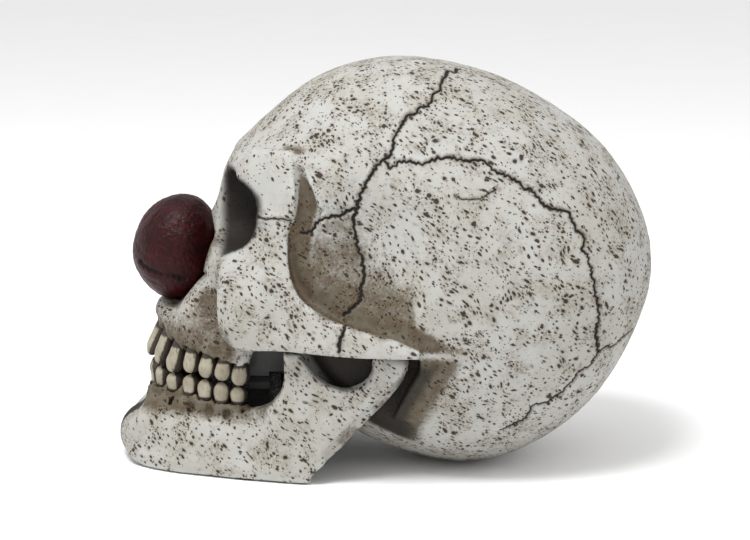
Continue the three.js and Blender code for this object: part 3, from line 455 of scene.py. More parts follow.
# ---------- The jaw casting ----------
JAW_TOP = 37.1
JAW_SIDE = np.concatenate([
    flow([(-66.8, 21.6), (-68.4, 18.2), (-70.2, 14.6), (-73.6, 11.6), (-76.0, 7.6), (-75.2, 4),
          (-72.2, 1.3)]),
    [(-66, -1), (-21.0, -1)],
    flow([(-20.4, 2.4), (-17.2, 5.6), (-12.4, 10.0), (-8.2, 14.9), (-4.0, 19.4), (1.2, 25.2), (5.8, 31.6),
          (7.0, 35.6)]),
    [(5.6, 37.1), (-2.4, 37.1)],
    flow([(-2.7, 35.2), (-3.2, 33.6), (-4.7, 31.0), (-6.8, 28.9), (-10.8, 27.5), (-15.4, 28.4),
          (-19.2, 30.8), (-22, 34.2), (-23.6, 37.1)]),
    flow([(-28.2, 37.1), (-28.0, 33), (-28.2, 28.0), (-30, 24), (-33, 21), (-38, 19.2), (-46, 19.4),
          (-57, 20.6)]),
])
# x and y, from above
JAW_OUTER = np.concatenate([
    flow([(0, -76.6), (8, -75.6), (15, -71.6), (22, -62), (28, -48), (33, -33), (37, -17), (40.4, 3),
          (40.8, 9)]),
    [(-5, 9), (-5, -76.6)],
])
JAW_INNER = np.concatenate([
    flow([(0, -62.6), (6, -61.2), (11, -56), (16.5, -46), (22.5, -36), (28, -26), (32, -14), (33.6, 0)]),
    [(33.6, 30), (-5, 30), (-5, -62.6)],
])


def jaw_distance(x, y, z):
    outer = outline_distance(JAW_OUTER, x, y)[:, :, None]
    inner = outline_distance(JAW_INNER, x, y)[:, :, None]
    side = outline_distance(JAW_SIDE, y, z)[None]
    body = ease(y, -76, -62) * (1 - ease(y, -40, -29))
    lean = 5.0 * body * ease(z, 8, 21) + 0.9 * ease(z, 3, 7) * (1 - ease(z, 9, 15)) * (1 - ease(y, -34, -22))
    back = ease(y + 0.85 * (37 - z), -3, 9) * ease(z, 5.5, 11) * (1 - 0.6 * ease(z, 18, 34))
    bevel = 3.6 * back * (1 - ease(-outer, 0.6, 4.2))
    return smooth_max(smooth_max(outer + lean, -inner, 1.5), side + bevel, 1.6)


def model_jaw():
    clay = Clay((0, -80, -3), (45, 14, 43))
    clay.add(Form(jaw_distance, (0, -77, -1), (42, 10, 38)))
    clay.add(ellipsoid((0, -70.5, 7), (8, 5.5, 5.5)), 4)  # chin
    clay.add(strand((36.4, -1, 35, 2.4), (37, 3.0, 35, 2.4)), 2)
    clay.add(gum_bar(LOWER_TEETH, 0.6, -3.0, 2.8), 2.5)
    clay.add(gum_bar(LOWER_TEETH, 0.2, 0.2, 2.0), 1.5)
    model_roots(clay, LOWER_TEETH, -0.1, 5.5)
    for neck, tip, (width, depth), along, out in rows(LOWER_TEETH):
        clay.cut(tooth_socket(neck, tip, width, depth, along, out, TOOTH_SPARE), 0.3)
        clay.cut(ellipsoid(neck + along * 2.3 + out * 3.3 + [0, 0, -3.2], (1.2, 1.2, 2.0)), 0.8)
    clay.cut(under(GROUND, (0, -80, -3), (44, 12, GROUND)), 0.6)
    clay.cut(Form(lambda x, y, z: JAW_TOP - z + 0 * x + 0 * y, (0, -80, JAW_TOP), (44, 12, 42)), 0.3)
    clay.mirror()
    for side in (-1, 1):
        clay.cut(rod((side * 32, 3, 33.5), (side * 38.2, 3, 33.5), 2.5))
        clay.cut(pad_recess(side * 25.5, -38))
    clay.cut(pad_recess(0, -69))
    return clay


# ---------- Surface noise ----------
def ripple(points, size, seed):
    """Smooth noise from -1 to 1, with bumps of about size mm."""
    lattice = np.random.default_rng(seed).uniform(-1, 1, (48, 48, 48))
    place = points / size + 100
    base = np.floor(place).astype(int)
    part = place - base
    part = part * part * (3 - 2 * part)
    total = 0
    for corner in np.ndindex(2, 2, 2):
        weight = np.prod(np.where(corner, part, 1 - part), axis=1)
        total = total + weight * lattice[tuple(((base + corner) % 48).T)]
    return total


def blobs(points, places):
    """1 at the middle of a place of x, y, z, radius and strength, 0 past its radius, on both sides."""
    total = np.zeros(len(points))
    sides = np.column_stack([abs(points[:, 0]), points[:, 1:]])
    for x, y, z, radius, strength in places:
        far = np.linalg.norm(sides - (x, y, z), axis=1)
        total = np.maximum(total, strength * (1 - ease(far, 0.35 * radius, radius)))
    return total


def line_distance(points, line):
    nearest = np.full(len(points), 1e9)
    for a, b in zip(line, line[1:]):
        way = b - a
        share = np.clip((points - a) @ way / max(way @ way, 1e-9), 0, 1)
        nearest = np.minimum(nearest, np.linalg.norm(points - a - share[:, None] * way, axis=1))
    return nearest


# ---------- Teeth as their own surfaces ----------
def tooth_mesh(neck, tip, width, depth, along, out, seed):
    """One crown: points, quads, and how far down its flanks each point is."""
    rows_of, around = 26, 36
    way = tip - neck
    length = np.linalg.norm(way)
    way = way / length
    across = np.cross(way, along)  # towards the cheek
    across = across * np.sign(across @ out)
    t = np.linspace(-0.16, 1, rows_of)[:, None]
    angle = np.linspace(0, 2 * math.pi, around, endpoint=False)[None, :]
    belly = 0.72 + 0.40 * np.sin(np.clip(t + 0.08, 0, 1) * math.pi * 0.66)
    end = np.clip(1 - np.maximum(t - 0.48, 0) ** 2.3 / 0.52**2.3, 0, 1) ** 0.5
    c, s = np.cos(angle), np.sin(angle)
    square = 1 / (abs(c) ** 2.5 + abs(s) ** 2.5) ** (1 / 2.5)
    u = width / 2 * belly * end * c * square
    v = depth / 2 * (0.94 + 0.06 * belly) * (0.35 + 0.65 * end) * end**0.3 * s * square
    down = neck + (t * length)[..., None] * way
    points = (down + u[..., None] * along + v[..., None] * across).reshape(-1, 3)
    rough = 0.10 * ripple(points * [1, 1, 0.2], 0.6, seed) + 0.22 * ripple(points, 2.2, seed + 1)
    points = points + rough[:, None] * (v / depth)[..., None].repeat(3, 2).reshape(-1, 3) * 2 * across
    quads = []
    for i in range(rows_of - 1):
        for k in range(around):
            a, b = i * around + k, i * around + (k + 1) % around
            quads.append((a, b, b + around, a + around))
    if np.dot(np.cross(along, across), way) < 0:
        quads = [face[::-1] for face in quads]
    edge = ease(abs(c) * square + 0 * t, 0.62, 1.0)
    root = 1 - ease(t + 0 * c, 0.02, 0.30)
    return points, quads, np.clip(np.maximum(edge, root), 0, 1).ravel()


# ---------- Sutures ----------
# y and z along each crack, how far it strays, and its half width
CRACKS = [
    (0.50, 0.40, [(21.5, 113.2), (18.5, 112.3), (15, 110.9), (14, 108.7), (11.5, 105.6), (7.9, 103.7),
                  (4.7, 101.2), (2.8, 98.4), (1.4, 94.7), (-0.5, 91.3), (-3.2, 88.4), (-5.9, 85.2),
                  (-7.2, 81.6), (-8, 78.7), (-8.3, 76.1), (-7.8, 69.4), (-7.5, 66), (-6.2, 63.3),
                  (-5.9, 59.8), (-7, 56.3), (-7.5, 53.1), (-9.7, 50.6), (-11.1, 48.1)]),
    (0.50, 0.32, [(-0.5, 91.1), (1.7, 89.8), (4.3, 90.7), (7.6, 91.5), (10.5, 91.3), (13.7, 92.3),
                  (17.7, 92.8), (20.4, 91.5), (23.9, 91.3), (26.9, 90.7), (29.8, 88.9), (32.7, 87.1),
                  (35.7, 85.9), (37, 84.1), (39.2, 83.3), (40.8, 81), (43.5, 79.6), (47.4, 78.3),
                  (49.8, 76.6), (50.9, 73), (53.1, 70.7), (53.4, 67.5), (55.1, 64.2), (55.7, 60.6),
                  (56.9, 56.9), (57.5, 53.5), (58.3, 49), (57.6, 44.7), (57.8, 40.1), (58.6, 37.7)]),
    (0.35, 0.24, [(58.6, 37.7), (60.6, 39.1), (63.4, 38.6), (66.5, 40.7), (69.1, 42)]),
    (0.35, 0.26, [(58.6, 37.7), (56.1, 34.1), (53.3, 32.5), (50.1, 28.8), (47.4, 26), (44.1, 23.8),
                  (40.7, 23.5), (39.7, 21.3), (38.1, 19.1), (34.3, 17.4), (31.6, 15.8)]),
    (0.45, 0.36, [(-8, 78.7), (-10.5, 77.5), (-12.9, 76.1), (-15.6, 75.3), (-18.4, 73.8), (-20.6, 71),
                  (-23, 70.7)]),
    (0.25, 0.20, [(-25.6, 74.4), (-28.7, 74.8), (-31.4, 74.9), (-35.5, 74.8)]),
    (0.30, 0.45, [(-11, 46.6), (-11.4, 44.6), (-12.4, 42.6), (-12.9, 39.4)]),
    (0.15, 0.14, [(18.2, 82.6), (21.1, 81.9), (25.2, 81.8), (27.8, 83.4), (29.8, 84.6)]),
]
CRACK_STEP = 0.55  # between a crack's points
PROBE = 0.25  # step of the search for the surface


def crack_line(clay, course, stray, side, seed):
    """A crack's jagged way over the surface of one side."""
    smooth = flow([(y, z, 0) for y, z in course], 10)[:, :2]
    steps = np.linalg.norm(np.diff(smooth, axis=0), axis=1)
    reach = np.concatenate([[0], np.cumsum(steps)])
    at = np.arange(0, reach[-1], CRACK_STEP)
    line = np.column_stack([np.interp(at, reach, smooth[:, k]) for k in (0, 1)])
    way = np.gradient(line, axis=0)
    way /= np.linalg.norm(way, axis=1)[:, None]
    random = np.random.default_rng(seed)
    jag = 0.75 * random.uniform(-1, 1, len(at))
    jag = stray * (jag + np.interp(at, at[::4], random.uniform(-1.2, 1.2, len(at[::4]))))
    line = line + jag[:, None] * np.column_stack([-way[:, 1], way[:, 0]])
    out = np.arange(60, 6, -PROBE)
    points = []
    for y, z in line:
        tries = clay.sample(np.column_stack([out, np.full(len(out), y), np.full(len(out), z)]))
        hits = np.nonzero(tries < 0)[0]
        if len(hits):
            k = hits[0]
            x = out[k] + (PROBE * tries[k] / (tries[k] - tries[k - 1]) if k else 0)
            points.append((side * x, y, z))
    return np.array(points)


def cracks_of(clay):
    lines = []
    for number, (stray, half, course) in enumerate(CRACKS):
        for side in (-1, 1):
            line = crack_line(clay, course, stray, side, 11 * number + side + 1)
            if len(line) > 1:
                lines.append((line, half))
    return lines


def crack_distance(points, lines):
    """Distance past the crack's edge, least over all cracks."""
    nearest = np.full(len(points), 9.0)
    for number, (line, half) in enumerate(lines):
        low, high = line.min(0) - 4, line.max(0) + 4
        close = np.nonzero(((points > low) & (points < high)).all(1))[0]
        if len(close):
            wide = half * (1 + 0.35 * ripple(points[close], 2.5, 70 + number))
            nearest[close] = np.minimum(nearest[close], line_distance(points[close], line) - wide)
    return nearest


# ---------- Shader sums ----------
class Value:
    """A shader socket that can be added, multiplied and compared."""

    def __init__(self, paint, socket):
        self.paint, self.socket = paint, socket

    def __add__(self, other):
        return self.paint.sum("ADD", self, other)

    def __sub__(self, other):
        return self.paint.sum("SUBTRACT", self, other)

    def __rsub__(self, other):
        return self.paint.sum("SUBTRACT", other, self)

    def __mul__(self, other):
        return self.paint.sum("MULTIPLY", self, other)

    __radd__, __rmul__ = __add__, __mul__

    def ease(self, start, end):
        """0 at start, 1 at end, smooth between."""
        settings = {"interpolation_type": "SMOOTHSTEP"}
        return self.paint.node("MapRange", settings, {"Value": self, "From Min": start, "From Max": end})


class Paint:
    """One material and its nodes."""

    def __init__(self, name):
        self.material = bpy.data.materials.new(name)
        self.material.use_nodes = True
        self.tree = self.material.node_tree
        self.tree.nodes.clear()

    def node(self, kind, settings, inputs, output=0):
        made = self.tree.nodes.new("ShaderNode" + kind)
        for name, value in settings.items():
            setattr(made, name, value)
        for name, value in inputs.items():
            self.feed(made.inputs[name], value)
        return Value(self, made.outputs[output])

    def feed(self, socket, value):
        if isinstance(value, Value):
            self.tree.links.new(value.socket, socket)
        else:
            socket.default_value = value

    def sum(self, operation, a, b):
        return self.node("Math", {"operation": operation}, {0: a, 1: b})

    def most(self, a, b):
        return self.sum("MAXIMUM", a, b)

    def mix(self, share, a, b):
        a, b = [(*c, 1) if isinstance(c, tuple) else c for c in (a, b)]
        return self.node("Mix", {"data_type": "RGBA"}, {0: share, 6: a, 7: b}, 2)

    def places(self, stretch=(1, 1, 1)):
        """Where a point is on its piece, in mm, stretched."""
        at = self.node("TexCoord", {}, {}, 3)
        scale = tuple(1000 * s for s in stretch)
        return self.node("VectorMath", {"operation": "MULTIPLY"}, {0: at, 1: scale})

    def noise(self, at, size, detail=3.0, roughness=0.55):
        inputs = {"Vector": at, "Scale": 1 / size, "Detail": detail, "Roughness": roughness}
        return self.node("TexNoise", {}, inputs)

    def cells(self, at, size, output, randomness=1.0):
        inputs = {"Vector": at, "Scale": 1 / size, "Randomness": randomness}
        return self.node("TexVoronoi", {}, inputs, {"distance": 0, "colour": 1}[output])

    def measure(self, name):
        """A value that the piece carries at each of its points."""
        return self.node("Attribute", {"attribute_name": name}, {}, 2)

    def bump(self, height, strength, distance):
        return self.node("Bump", {}, {"Height": height, "Strength": strength, "Distance": distance * MM})

    def finish(self, colour, roughness, normal=None, **fixed):
        inputs = {"Base Color": colour, "Roughness": roughness}
        if normal:
            inputs["Normal"] = normal
        inputs.update({name.replace("_", " "): value for name, value in fixed.items()})
        if isinstance(colour, tuple):
            inputs["Base Color"] = (*colour, 1)
        shader = self.node("BsdfPrincipled", {}, inputs)
        end = self.tree.nodes.new("ShaderNodeOutputMaterial")
        self.feed(end.inputs["Surface"], shader)
        return self.material


# ---------- Paints ----------
def speck_layer(paint, at, size, share, thickness):
    """Short dark flecks, and the stain round them, from 0 to 1. share is how many of the cells hold one."""
    cell = paint.cells(at, size, "colour")
    holds = (share - paint.node("SeparateColor", {}, {"Color": cell})).ease(-0.02, 0.02)
    swell = paint.node("SeparateColor", {}, {"Color": cell}, 1) * (0.62 * thickness) + 0.58 * thickness
    away = paint.cells(at, size, "distance")
    ragged = away + 0.20 * (paint.noise(at, size * 0.35, 2.0) - 0.5)
    return holds * (swell - ragged).ease(0, 0.06), holds * (swell - away).ease(-0.28, 0.05)


def bone_paint(name):
    paint = Paint(name)
    at = paint.places()
    wash, specks = paint.measure("wash"), paint.measure("specks")
    crack, dark_paint_and_shade = paint.measure("crack"), paint.measure("dark_paint_and_shade")
    hollow, edge = paint.measure("hollow"), paint.measure("edge")
    wide = paint.noise(at, 22.0, 3.0)
    middling = paint.noise(at, 5.0, 4.0)
    fine = paint.noise(at, 0.9, 4.0, 0.7)
    swirl = paint.node("TexNoise", {}, {"Vector": at, "Scale": 1 / 9.0, "Detail": 1.0}, 1)
    warp = paint.node("VectorMath", {"operation": "MULTIPLY_ADD"}, {0: swirl, 1: (5, 5, 5), 2: at})
    slanted = paint.node("VectorRotate", {"rotation_type": "X_AXIS"}, {"Vector": warp, "Angle": 0.7})
    drawn = paint.node("VectorMath", {"operation": "MULTIPLY"}, {0: slanted, 1: (0.9, 0.62, 1.15)})
    crowd = paint.noise(at, 7.5, 2.0).ease(0.40, 0.68)
    small, round_small = speck_layer(paint, drawn, 1.05, specks * (0.34 + 0.58 * crowd), 0.33)
    large, round_large = speck_layer(paint, drawn, 1.7, specks * (0.24 + 0.50 * crowd), 0.31)
    dots, _ = speck_layer(paint, at, 0.7, specks * (0.16 + 0.60 * crowd), 0.32)
    marks = paint.most(paint.most(small, large), dots * 0.85)
    halo = paint.most(round_small * 0.7, round_large)

    colour = paint.mix(wide.ease(0.35, 0.7), (0.375, 0.375, 0.360), (0.338, 0.330, 0.298))
    colour = paint.mix((middling - 0.5).ease(-0.1, 0.3) * 0.35, colour, (0.285, 0.262, 0.212))
    colour = paint.mix(fine.ease(0.52, 0.80) * 0.30, colour, (0.225, 0.200, 0.155))
    colour = paint.mix(crowd * specks * 0.42 * fine.ease(0.3, 0.6), colour, (0.165, 0.128, 0.080))
    colour = paint.mix(edge * 0.55, colour, (0.455, 0.452, 0.43))
    stain = (wash + 0.50 * (middling - 0.5) + 0.70 * (fine - 0.5)).ease(0.14, 0.80)
    blend = paint.noise(at, 3.2, 2.0).ease(0.35, 0.68)
    tone = paint.mix(blend, (0.058, 0.036, 0.015), (0.085, 0.073, 0.046))
    colour = paint.mix(stain * 0.95, colour, tone)
    # darker brown in creases and recesses, more where the clay crowds round
    colour = paint.mix((hollow + 0.35 * (fine - 0.5)).ease(0.15, 0.9) * 0.80, colour, (0.085, 0.058, 0.034))
    colour = paint.mix(halo * specks * 0.5, colour, (0.125, 0.092, 0.055))
    colour = paint.mix(marks * 0.96, colour, (0.017, 0.010, 0.005))
    colour = paint.mix(crack, colour, (0.008, 0.005, 0.003))
    # near-black: painted shade behind the ball, in the jaw's pocket and inside the jaw, and dark paint in
    # the eye sockets
    colour = paint.mix(dark_paint_and_shade, colour, (0.012, 0.009, 0.006))
    rough = 0.62 + 0.22 * fine - 0.10 * edge
    height = 0.5 * fine + 0.35 * middling - 1.1 * marks
    return paint.finish(colour, rough, paint.bump(height, 0.55, 0.30), Specular_IOR_Level=0.34)


def enamel_paint(name):
    paint = Paint(name)
    at = paint.places()
    flank = paint.measure("flank")
    streak = paint.noise(paint.places((1, 1, 0.22)), 0.55, 3.0, 0.6)
    fine = paint.noise(at, 0.8, 3.0)
    colour = paint.mix(paint.noise(at, 4.0, 2.0).ease(0.3, 0.7), (0.31, 0.285, 0.22), (0.215, 0.188, 0.132))
    colour = paint.mix((streak + 0.25 * flank).ease(0.60, 0.74) * 0.85, colour, (0.075, 0.052, 0.030))
    colour = paint.mix((flank + 0.5 * (fine - 0.5)).ease(0.42, 0.80), colour, (0.028, 0.019, 0.012))
    relief = paint.bump(streak - flank, 0.4, 0.2)
    return paint.finish(colour, 0.45 + 0.3 * fine, relief, Specular_IOR_Level=0.4)


def ball_paint(name):
    paint = Paint(name)
    at = paint.places()
    crease = paint.measure("crease")
    peel = paint.noise(at, 1.0, 2.0, 0.5)
    patch = paint.noise(at, 7.0, 3.0)
    colour = paint.mix(patch.ease(0.3, 0.7), (0.026, 0.0008, 0.0016), (0.012, 0.0006, 0.0010))
    bright = (paint.noise(at, 2.2, 4.0) - 0.5).ease(0.0, 0.25) * 0.5
    colour = paint.mix(bright, colour, (0.048, 0.002, 0.004))
    # painted shade: the crease is darkened to near-black
    colour = paint.mix(crease, colour, (0.006, 0.002, 0.002))
    rough = 0.34 + 0.22 * patch + 0.2 * crease
    return paint.finish(colour, rough, paint.bump(peel, 0.8, 0.4), Specular_IOR_Level=0.16)


def plain_paint(name, light, dark, rough, grain=0.6, relief=0.12, **fixed):
    """Moulded or turned material: slight mottling, and a fine grain."""
    paint = Paint(name)
    at = paint.places()
    fine, patch = paint.noise(at, grain, 4.0), paint.noise(at, 5.0, 3.0)
    colour = paint.mix((0.6 * patch + 0.4 * fine).ease(0.35, 0.65), dark, light)
    return paint.finish(colour, rough - 0.1 + 0.2 * fine, paint.bump(fine, 0.3, relief), **fixed)


def wood_paint(name):
    paint = Paint(name)
    grain = paint.noise(paint.places((1, 0.12, 1)), 0.35, 4.0, 0.6)
    colour = paint.mix(grain.ease(0.3, 0.7), (0.22, 0.125, 0.055), (0.50, 0.34, 0.17))
    return paint.finish(colour, 0.6 + 0.2 * grain, paint.bump(grain, 0.3, 0.1))


def stone_paint(name):
    paint = Paint(name)
    at = paint.places()
    grain = paint.cells(at, 0.42, "distance")
    tint = paint.node("SeparateColor", {}, {"Color": paint.cells(at, 0.42, "colour")})
    colour = paint.mix(tint, (0.09, 0.085, 0.08), (0.22, 0.21, 0.20))
    colour = paint.mix(grain.ease(0.35, 0.75) * 0.8, colour, (0.02, 0.03, 0.04))
    return paint.finish(colour, 0.85 + 0.1 * grain, paint.bump(1 - grain, 0.9, 0.3))


# ---------- Pieces ----------
def sides(points):
    """How far each point is from the middle plane, with its y and z."""
    return abs(points[:, 0]), points[:, 1], points[:, 2]


def carry(mesh, name, values, domain="POINT"):
    layer = mesh.attributes.new(name, "FLOAT", domain)
    layer.data.foreach_set("value", np.ascontiguousarray(values, np.float32))


def make_mesh(name, points, faces, values):
    mesh = bpy.data.meshes.new(name)
    mesh.from_pydata((points * MM).tolist(), [], faces)
    for key, column in values.items():
        carry(mesh, key, column)
    mesh.shade_smooth()
    return mesh


def add_object(name, mesh, *materials):
    piece = bpy.data.objects.new(name, mesh)
    bpy.context.scene.collection.objects.link(piece)
    for material in materials:
        mesh.materials.append(material)
    return piece


def refine(points, faces, lines, spread):
    """Cuts the faces near the cracks finer, and gives the new points and faces."""
    made = bmesh.new()
    mesh = bpy.data.meshes.new("coarse")
    mesh.from_pydata(points.tolist(), [], faces)
    made.from_mesh(mesh)
    for reach in spread:
        places = np.array([v.co[:] for v in made.verts])
        near = crack_distance(places, lines) < reach
        made.verts.ensure_lookup_table()
        edges = [e for e in made.edges if near[e.verts[0].index] or near[e.verts[1].index]]
        bmesh.ops.subdivide_edges(made, edges=edges, cuts=1, use_grid_fill=True)
        made.verts.index_update()
    made.to_mesh(mesh)
    made.free()
    points = np.empty(len(mesh.vertices) * 3)
    mesh.vertices.foreach_get("co", points)
    faces = [tuple(p.vertices) for p in mesh.polygons]
    bpy.data.meshes.remove(mesh)
    return points.reshape(-1, 3), faces


def normals_of(clay, points):
    steps = np.eye(3) * 0.8
    slope = np.column_stack([clay.sample(points + s) - clay.sample(points - s) for s in steps])
    return slope / np.maximum(np.linalg.norm(slope, axis=1), 1e-6)[:, None]


def casting_mesh(name, clay, lines, wash, bare, dark_paint_and_shade, teeth):
    """The clay's surface with its cracks, stains and the teeth set in it."""
    points, triangles, quads = clay.cast()
    faces = [tuple(f) for f in triangles.tolist()] + [tuple(f) for f in quads.tolist()]
    if lines:
        points, faces = refine(points, faces, lines, (1.6, 0.9))
    out = normals_of(clay, points)
    gap = crack_distance(points, lines)
    crack = 1 - ease(gap, -0.10, 0.16)
    close, broad = clay.crowding(1.6), clay.crowding(4.5)
    pinch = clay.sample(points, close) - 0.5
    bowl = clay.sample(points, broad) - 0.5
    x, y, z = sides(points)
    inside = (hollow_distance(x, y, z) < 1.0) & (name == "skull")
    relief = 0.10 * ripple(points, 4.5, 3) + 0.06 * ripple(points, 1.7, 4)
    relief = relief - 0.55 * (1 - ease(gap, -0.45, 0.25))
    relief = relief + 0.12 * (1 - ease(abs(gap - 0.7), 0.1, 0.7)) * (gap > 0.2)
    points = points + out * relief[:, None]
    values = {
        "crack": crack,
        "wash": np.maximum(wash(points), 0.45 * (1 - ease(gap, 0, 1.5))),
        "specks": np.clip(1 - blobs(points, bare), 0, 1) * (1 - inside),
        # near-black painted shade in recesses and between the parts, and dark paint in the eye sockets
        "dark_paint_and_shade": dark_paint_and_shade(points),
        # how much the clay crowds round: darker brown in creases and recesses
        "hollow": ease(pinch, 0.05, 0.24) * 0.8 + ease(bowl, 0.14, 0.34) * 0.5,
        "edge": ease(-pinch, 0.06, 0.20) * (1 - ease(bowl, 0.0, 0.12)),
    }
    crowns, crown_faces, flank = crown_set(teeth, len(points))
    values = {key: np.concatenate([column, np.zeros(len(crowns))]) for key, column in values.items()}
    values["flank"] = np.concatenate([np.zeros(len(points)), flank])
    mesh = make_mesh(name, np.concatenate([points, crowns]), faces + crown_faces, values)
    kinds = np.repeat([0, 1], [len(faces), len(crown_faces)])
    mesh.polygons.foreach_set("material_index", kinds)
    return mesh


def crown_set(teeth, start):
    """All the crowns of a row: points, faces numbered from start, and how dark each point is."""
    points, faces, flank = [], [], []
    for number, (neck, tip, size, along, out) in enumerate(rows(teeth)):
        crown, quads, dark = tooth_mesh(neck, tip, *size, along, out, 7 * number)
        for side in (1, -1):
            faces += [tuple(start + i for i in quad[::side]) for quad in quads]
            points.append(crown * [side, 1, 1])
            flank.append(dark)
            start += len(crown)
    return np.concatenate(points), faces, np.concatenate(flank)


# ---------- Where the castings are stained, and where shade is painted ---
SKULL_STAINS = [  # x, y, z, radius, strength
    (40, -14, 53, 9, 0.8), (43, -7, 50.5, 8, 0.8), (45, 0, 47.5, 7, 0.7), (47, 7, 44, 5, 0.5),
    (39, -12, 63, 14, 0.62), (41, -5, 56, 13, 0.62), (44, 2, 53, 10, 0.5), (40, -12, 74, 10, 0.45),
    (10, -50, 60, 12, 0.6), (6, -58, 47, 9, 0.65), (22, -49, 48, 8, 0.75), (21, -48, 40, 7, 0.7),
    (12, -60, 38, 7, 0.6), (18, -54, 38, 7, 0.65), (34, -36, 74, 7, 0.42), (39, 0, 24, 14, 0.85),
    (36, -2, 14, 12, 0.75), (42, 9, 31, 8, 0.6), (26, -43, 59, 6, 0.35), (15, 22, 2, 14, 0.45),
]
JAW_STAINS = [
    (20, -50, 20, 7, 0.62), (14, -58, 20, 6, 0.55), (22, -40, 20, 7, 0.75), (28, -33, 20, 6, 0.6),
    (31, -30, 27, 5, 0.35), (34, -10, 14, 6, 0.6), (34, -2, 24, 6, 0.7), (36, 3, 31, 5, 0.6),
    (36, -11, 28, 4, 0.4), (8, -70, 2, 7, 0.4),
]
# Places with fewer specks, in the same order
SKULL_BARE = [(34, -33, 80, 12, 0.80), (24, -36, 88, 12, 0.5), (30, -38, 64, 10, 0.35),
              (44, -4, 42, 8, 0.55)]
JAW_BARE = [(36, -14, 12, 9, 0.4), (12, -68, 12, 10, 0.35)]
RAMUS_REAR = np.array([(12, 38), (9.4, 33.5), (6, 27), (2.2, 19), (-3.6, 4)])


def flat_distance(y, z, line):
    """Distance to a line seen from the side."""
    flat = np.column_stack([y, z, np.zeros(len(y))])
    return line_distance(flat, np.column_stack([line, np.zeros(len(line))]))


def skull_wash(points):
    """Brown wash on the temple, the upper jaw and behind the ramus; a dark brown band along the channel's
    rim.
    """
    x, y, z = sides(points)
    below = leaning(CHEEK_OUTER, OUTER_LEAN)(y, z) - x
    sunk = ease(below, 0.6, 1.8) * ease(y, -30, -27) * ease(z, 38.5, 41)
    gap = flat_distance(y, z, flow(CHANNEL_RIM, 2))
    groove = sunk * (1 - ease(gap, 4.2, 8))
    temple = 0.72 * sunk * (1 - ease(gap, 8, 21)) * (1 - ease(z, 58, 86))
    gums = (1 - ease(z, 36, 52)) * (1 - ease(y, -44, -40)) * ease(z, 27, 31)
    behind = (1 - ease(flat_distance(y, z, RAMUS_REAR), 4, 12)) * ease(x, 27, 30) * (1 - ease(z, 36, 40))
    return np.maximum.reduce([blobs(points, SKULL_STAINS), groove, temple, 0.75 * gums, 0.95 * behind])


def skull_dark_paint_and_shade(points):
    """Dark paint in the eye sockets; painted shade behind the ball, in the jaw's pocket and behind the
    ramus.
    """
    x, y, z = sides(points)
    socket = 1 - ease(abs(SOCKET.distance(x, y, z)), 0.8, 2.0)
    eye = np.maximum(socket * ease(y, -47.5, -44), blobs(points, [(15, -31, 73, 11, 1)]))
    # painted shade in the nose hollow behind the ball
    nose = blobs(points, [(0, -50, 57, 9, 0.95)])
    # painted shade on the pocket wall beside the jaw, and in the step behind the ramus
    pocket = ease(35.5 - x, 0, 1.5) * ease(x, 27, 30) * ease(y, -34, -30) * (1 - ease(z, 40, 43))
    pocket = pocket * (1 - ease(y, 4, 12))
    step = 0.85 * (1 - ease(flat_distance(y, z, RAMUS_REAR), 1.8, 4.5))
    step = step * ease(x, 27, 30) * (1 - ease(z, 34, 38))
    return np.clip(np.maximum.reduce([eye, nose, pocket, step]), 0, 1)


def jaw_wash(points):
    """Brown wash under the teeth and along the ramus."""
    x, y, z = sides(points)
    gums = ease(z, 13, 19) * (1 - ease(z, 23, 26)) * (1 - ease(y, -40, -34))
    rear = 0.8 * (1 - ease(flat_distance(y, z, RAMUS_REAR), 0.5, 3.5))
    return np.maximum.reduce([blobs(points, JAW_STAINS), 0.8 * gums, rear])


def jaw_painted_shade(points):
    """Painted shade on the jaw's inner faces: near-black there."""
    x, y, z = sides(points)
    inner = np.interp(y, [-62, -56, -46, -36, -26, -14, 0], [3, 11, 16.5, 22.5, 28, 32, 33.6])
    return (1 - ease(x - inner, 0.3, 1.4)) * ease(z, 1.5, 5)


def nose_ball():
    """A ball a little flattened at the top front, with an orange-peel skin and a crease low on its left."""
    around, rings = ((260, 180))
    turn = np.linspace(0, 2 * math.pi, around, endpoint=False)
    rise = np.linspace(0, math.pi, rings + 1)[1:-1]
    way = np.stack([np.outer(np.sin(rise), np.cos(turn)), np.outer(np.sin(rise), np.sin(turn)),
                    np.outer(np.cos(rise), np.ones(around))], -1).reshape(-1, 3)
    way = np.concatenate([way, [[0, 0, 1], [0, 0, -1]]])
    low, high = (np.array(corner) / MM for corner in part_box("nose_ball"))
    middle, radii = (low + high) / 2, (high - low) / 2
    points = way * radii
    points[:, 1] += 0.09 * np.maximum(points[:, 2], 0)
    points *= (1 - 0.035 * ease(-way[:, 1] * 0.6 + way[:, 2] * 0.7, 0.3, 1))[:, None]
    course = flow([(9, -9.5, -3), (11.5, -5, -5.2), (12.4, 0, -6.0), (12, 4.5, -8.4)], 8)
    course = course + 0.35 * np.sin(np.arange(len(course)) * 2.1)[:, None] * [0, 0, 1]
    gap = line_distance(points, course)
    crease = 1 - ease(gap, 0.45, 1.0)
    skin = 0.22 * ripple(points, 4.0, 31) + 0.10 * ripple(points, 1.25, 32) + 0.05 * ripple(points, 0.7, 33)
    points += way * (skin - 0.55 * crease)[:, None]
    faces = []
    for i in range(rings - 2):
        for k in range(around):
            a, b = i * around + k, i * around + (k + 1) % around
            faces.append((a, a + around, b + around, b))
    top, last = len(points) - 2, (rings - 2) * around
    for k in range(around):
        b = (k + 1) % around
        faces += [(top, k, b), (top + 1, last + b, last + k)]
    return make_mesh("nose_ball_skin", points + middle, faces, {"crease": crease})


# ---------- Castings and ball ----------
skull_clay, jaw_clay = model_skull(), model_jaw()
cracks = cracks_of(skull_clay)
bone, enamel = bone_paint("aged bone resin"), enamel_paint("aged tooth resin")

